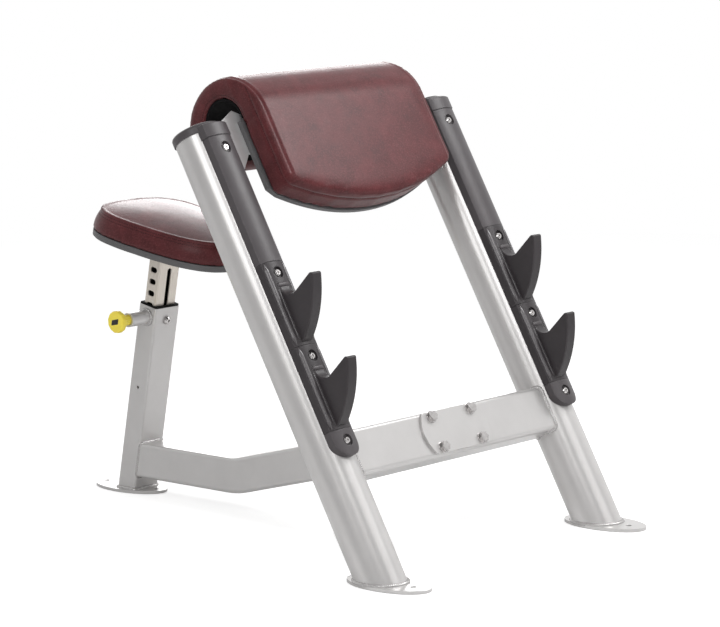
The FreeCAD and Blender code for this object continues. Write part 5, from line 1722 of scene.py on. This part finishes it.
    def end_seam(self, way: Way) -> Array:
        """Run a seam across one end, level with the roll, from the bore's rim to the long seam.

        Args:
            way: Side of the bench.

        Returns:
            Points along the seam.
        """
        out = np.linspace(self.end_seam_start, self.seam_stand, 30)
        place = RAKE.world(way.value * self.half_width, out, self.roll_climb - self.end_seam_drop)
        off_bore = np.linalg.norm(place[:, 1:] - self.bore_centre()[1:], axis=1)
        return evenly(place[off_bore > self.bore_radius], SEAM_STEP, False)

    def bore_ring(self, way: Way) -> Array:
        """Run a part ring round one end, just outside the bore.

        Args:
            way: Side of the bench.

        Returns:
            Points along the ring.
        """
        past_face, past_lip = 0.9, 0.35
        turn = np.linspace(math.pi - RAKE.lean + past_face, -past_lip, 150)
        bore = self.bore_centre()
        reach = self.bore_radius + self.ring_margin
        ring = np.stack([np.full_like(turn, way.value * self.half_width), bore[1] + reach * np.cos(turn),
                         bore[2] + reach * np.sin(turn)], axis=1)
        return evenly(ring, SEAM_STEP, False)

    @staticmethod
    def furrow(cover: Thing, line: Array, width: float, depth: float) -> Array:
        """Drop a line on to the cover and press it in.

        Args:
            cover: The padded cover.
            line: Points near the cover.
            width: Half width of the furrow.
            depth: Depth of the furrow, below nothing where the cover stands up.

        Returns:
            Points on the cover before it was pressed.
        """
        path, _ = settle(cover, line, False)
        press_line(cover, path, width, depth)
        return path

    def sew(self, cover: Thing, label: str, line: Array, width: float, depth: float) -> None:
        """Press a seam into the cover and lay its stitches.

        Args:
            cover: The padded cover.
            label: Name of the stitches' piece.
            line: Points near the cover.
            width: Half width of the furrow.
            depth: Depth of the furrow.
        """
        path = self.furrow(cover, line, width, depth)
        spots, lift = settle(cover, evenly(path, self.stitch.pitch, False), False)
        row = self.stitch.strung(label, spots, lift, False)
        self.add(row, Body.FRAME, "vinyl_maroon", THREAD)

    def bracket_welds(self) -> list[Seam]:
        """Weld up both faces of each bracket where it meets its upright.

        The seam stands in from the tube's axis by the root of its radius squared less the face's stand
        squared.

        Returns:
            Two open seams a bracket.
        """
        runs = []
        reach = self.tube_radius + self.bead_stand
        for way in Way:
            for stand, side in ((self.bracket_back, -1), (self.bracket_face, 1)):
                across = way.value * (self.tube_place - math.sqrt(reach ** 2 - stand ** 2))
                climbs = np.linspace(self.bracket_low, self.bracket_high, 150)
                path = RAKE.world(across, stand + side * self.bead_stand, climbs)
                lift = side * RAKE.facing() - np.array([LIFT_SHARE * way.value, 0, 0])
                runs.append((path, np.tile(unit_rows(lift), (len(path), 1)), False))
        return runs

    def build(self) -> None:
        """Cover with its seams and stitches, and the brackets' welds."""
        cover = self.stuffing.fill("curl_pad", "arm_pad_cover", self.free)
        self.add(cover, Body.FRAME, "vinyl_maroon", MAROON)
        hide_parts("curl_pad")
        for way in Way:
            for inset, depth in self.border_lines:
                line = self.over_roll(way.value * (self.half_width - inset))
                self.furrow(cover, line, self.border_width, depth)
        self.sew(cover, "pad_rim_stitches", self.rim_seam(), self.border_width, self.rim_depth)
        for way in Way:
            self.furrow(cover, self.end_seam(way), self.furrow_width, self.end_depth)
            label = f"{way.name.lower()}_bore_stitches"
            self.sew(cover, label, self.bore_ring(way), self.furrow_width, self.ring_depth)
        self.weld("bracket_welds", self.bracket_welds(), self.bracket_bead)


# Studio


@dataclass(frozen=True)
class Lamp:
    """A square soft lamp: way to it, what it faces, distance, width, brightness and spread in degrees."""

    label: str
    towards: tuple[float, float, float]
    aim: tuple[float, float, float]
    distance: float
    width: float
    brightness: float
    spread: float = 180.0


@dataclass
class Studio:
    """Pale floor, soft light and the camera."""

    camera_place: tuple[float, float, float] = (-4.937361, -4.663266, 1.494477)
    azimuth: float = math.radians(47.697)
    fall: float = math.radians(8.691)
    roll: float = math.radians(-1.053)
    lens: float = 157.125
    sensor: float = 36.0
    floor_size: float = 5.0
    ambient: float = 0.52
    room_side: tuple[float, float, float] = (-0.727, -0.686, 0.0)
    room_gloss: float = 0.38
    room_low: float = -0.45
    room_high: float = 0.3
    floor_drop: float = 0.0003
    floor_glow: float = 0.5
    floor_grey: float = 0.9
    lights: tuple[Lamp, ...] = (
        Lamp("window", (0.72, -0.42, 0.55), (-0.92, -0.14, 1.0), 3.0, 1.3, 8.6),
        Lamp("front", (0.2, -0.8, 0.57), (0.0, -0.2, 0.5), 3.5, 2.2, 1.0),
        Lamp("overhead", (-0.47, -0.6, 0.62), (-0.2, -0.25, 0.5), 3.2, 0.9, 5.5),
        Lamp("side", (-0.84, -0.3, 0.46), (-0.3, 0.0, 0.8), 3.2, 1.3, 3.4),
        Lamp("back", (0.73, 0.67, 0.1), (0.0, 0.1, 1.05), 3.6, 1.5, 0.6, 60.0))

    def camera(self) -> None:
        """Camera that looks along its azimuth, down by its fall and rolled a little."""
        a, e, r = self.azimuth, self.fall, self.roll
        look = np.array([math.sin(a) * math.cos(e), math.cos(a) * math.cos(e), -math.sin(e)])
        right = np.array([math.cos(a), -math.sin(a), 0.0])
        up = np.cross(right, look)
        across = right * math.cos(r) + up * math.sin(r)
        upward = up * math.cos(r) - right * math.sin(r)
        data = bpy.data.cameras.new("camera")
        data.sensor_fit, data.sensor_width, data.lens = "HORIZONTAL", self.sensor, self.lens
        data.clip_end = 100.0
        view = bpy.data.objects.new("camera", data)
        bpy.context.scene.collection.objects.link(view)
        turn = np.eye(4)
        turn[:3, :3] = np.column_stack([across, upward, -look])
        turn[:3, 3] = self.camera_place
        view.matrix_world = Matrix(turn.tolist())
        bpy.context.scene.camera = view

    @staticmethod
    def _seen(tree: bpy.types.NodeTree, names: Sequence[str]) -> Socket:
        """Tell the named kinds of ray from others.

        Args:
            tree: Tree of nodes to add to.
            names: Light Path outputs.

        Returns:
            Mask of 1 for those rays.
        """
        rays = tree.nodes.new("ShaderNodeLightPath")
        mask = rays.outputs[names[0]]
        for name in names[1:]:
            either = tree.nodes.new("ShaderNodeMath")
            either.operation = "MAXIMUM"
            tree.links.new(mask, either.inputs[0])
            tree.links.new(rays.outputs[name], either.inputs[1])
            mask = either.outputs["Value"]
        return mask

    @staticmethod
    def _ranged(tree: bpy.types.NodeTree, mask: Socket, low: float, high: float) -> Socket:
        """Turn a mask into a number.

        Args:
            tree: Tree of nodes to add to.
            mask: The mask.
            low: Number where it is 0.
            high: Number where it is 1.

        Returns:
            The number.
        """
        node = tree.nodes.new("ShaderNodeMapRange")
        tree.links.new(mask, node.inputs["Value"])
        node.inputs["To Min"].default_value = low
        node.inputs["To Max"].default_value = high
        return node.outputs["Result"]

    def world(self) -> None:
        """White for the camera, even grey on the bench, and in gloss white with a dimmer room in front.

        In gloss the strength falls smoothly from 1 to the room's, by how far the ray turns to its side.
        """
        world = bpy.data.worlds.new("studio")
        world.use_nodes = True
        tree = world.node_tree
        ground = tree.nodes["Background"]
        ground.inputs["Color"].default_value = (1, 1, 1, 1)
        way = tree.nodes.new("ShaderNodeVectorMath")
        way.operation = "DOT_PRODUCT"
        tree.links.new(tree.nodes.new("ShaderNodeTexCoord").outputs["Generated"], way.inputs[0])
        way.inputs[1].default_value = self.room_side
        room = tree.nodes.new("ShaderNodeMapRange")
        room.interpolation_type = "SMOOTHSTEP"
        tree.links.new(way.outputs["Value"], room.inputs["Value"])
        for name, number in (("From Min", self.room_low), ("From Max", self.room_high), ("To Min", 1.0),
                             ("To Max", self.room_gloss)):
            room.inputs[name].default_value = number
        gloss = self._ranged(tree, self._seen(tree, ("Is Glossy Ray",)), self.ambient, 1.0)
        tree.links.new(room.outputs["Result"], gloss.node.inputs["To Max"])
        seen = self._ranged(tree, self._seen(tree, ("Is Camera Ray", "Is Transmission Ray")), 0.0, 1.0)
        tree.links.new(gloss, seen.node.inputs["To Min"])
        tree.links.new(seen, ground.inputs["Strength"])
        world.cycles.sampling_method = "NONE"
        bpy.context.scene.world = world

    def floor(self) -> None:
        """Round pale floor just under the floor plates, white to the camera but for the bench's shadow."""
        rings, sides = np.array([0.05, 1.0, self.floor_size])[:, None], 96
        turn = round_turns(sides)
        level = np.full((len(rings), sides), -self.floor_drop)
        points = np.stack([rings * np.cos(turn), rings * np.sin(turn), level], axis=-1)
        faces = grid_faces(len(rings), sides, False, True).tolist() + [list(range(sides))]
        floor = lay_mesh("floor", points, faces)
        if floor.data.polygons[0].normal.z < 0:
            floor.data.flip_normals()
        paint = bpy.data.materials.new("pale_floor")
        paint.use_nodes = True
        tree = paint.node_tree
        shader = tree.nodes["Principled BSDF"]
        shader.inputs["Base Color"].default_value = (*[self.floor_grey] * 3, 1)
        shader.inputs["Roughness"].default_value = 0.8
        shader.inputs["Specular IOR Level"].default_value = 0.0
        shader.inputs["Emission Color"].default_value = (1, 1, 1, 1)
        mask = self._seen(tree, ("Is Camera Ray", "Is Transmission Ray"))
        tree.links.new(self._ranged(tree, mask, 0.0, self.floor_glow), shader.inputs["Emission Strength"])
        floor.data.materials.append(paint)

    def lamps(self) -> None:
        """Soft square lamps: each faces its aim, with power of brightness times pi times its area."""
        for lamp in self.lights:
            towards = unit_rows(np.array(lamp.towards))
            across = unit_rows(np.cross([0.0, 0, 1], towards))
            data = bpy.data.lights.new(lamp.label, "AREA")
            data.shape, data.size = "SQUARE", lamp.width
            data.spread = math.radians(lamp.spread)
            data.energy = lamp.brightness * math.pi * lamp.width ** 2
            holder = bpy.data.objects.new(lamp.label, data)
            bpy.context.scene.collection.objects.link(holder)
            turn = np.eye(4)
            turn[:3, :3] = np.column_stack([across, np.cross(towards, across), towards])
            turn[:3, 3] = np.array(lamp.aim) + towards * lamp.distance
            holder.matrix_world = Matrix(turn.tolist())
            holder.visible_camera = False

    def build(self) -> None:
        """Set up the camera, the world's light, the floor and the lamps."""
        self.camera()
        self.world()
        self.floor()
        self.lamps()
        bpy.context.scene.view_settings.view_transform = "Standard"


def main() -> None:
    """Dress and build each sub-assembly in order."""
    logging.basicConfig(level=logging.INFO, format="%(name)s: %(message)s")
    Studio().build()
    for part in (FrontFrame(), Guards(), BoltedJoint(), SpineAndPost(), PullPin(), Seat(), ArmPad()):
        part.dress()
        part.build()


if __name__ == "__main__":
    main()
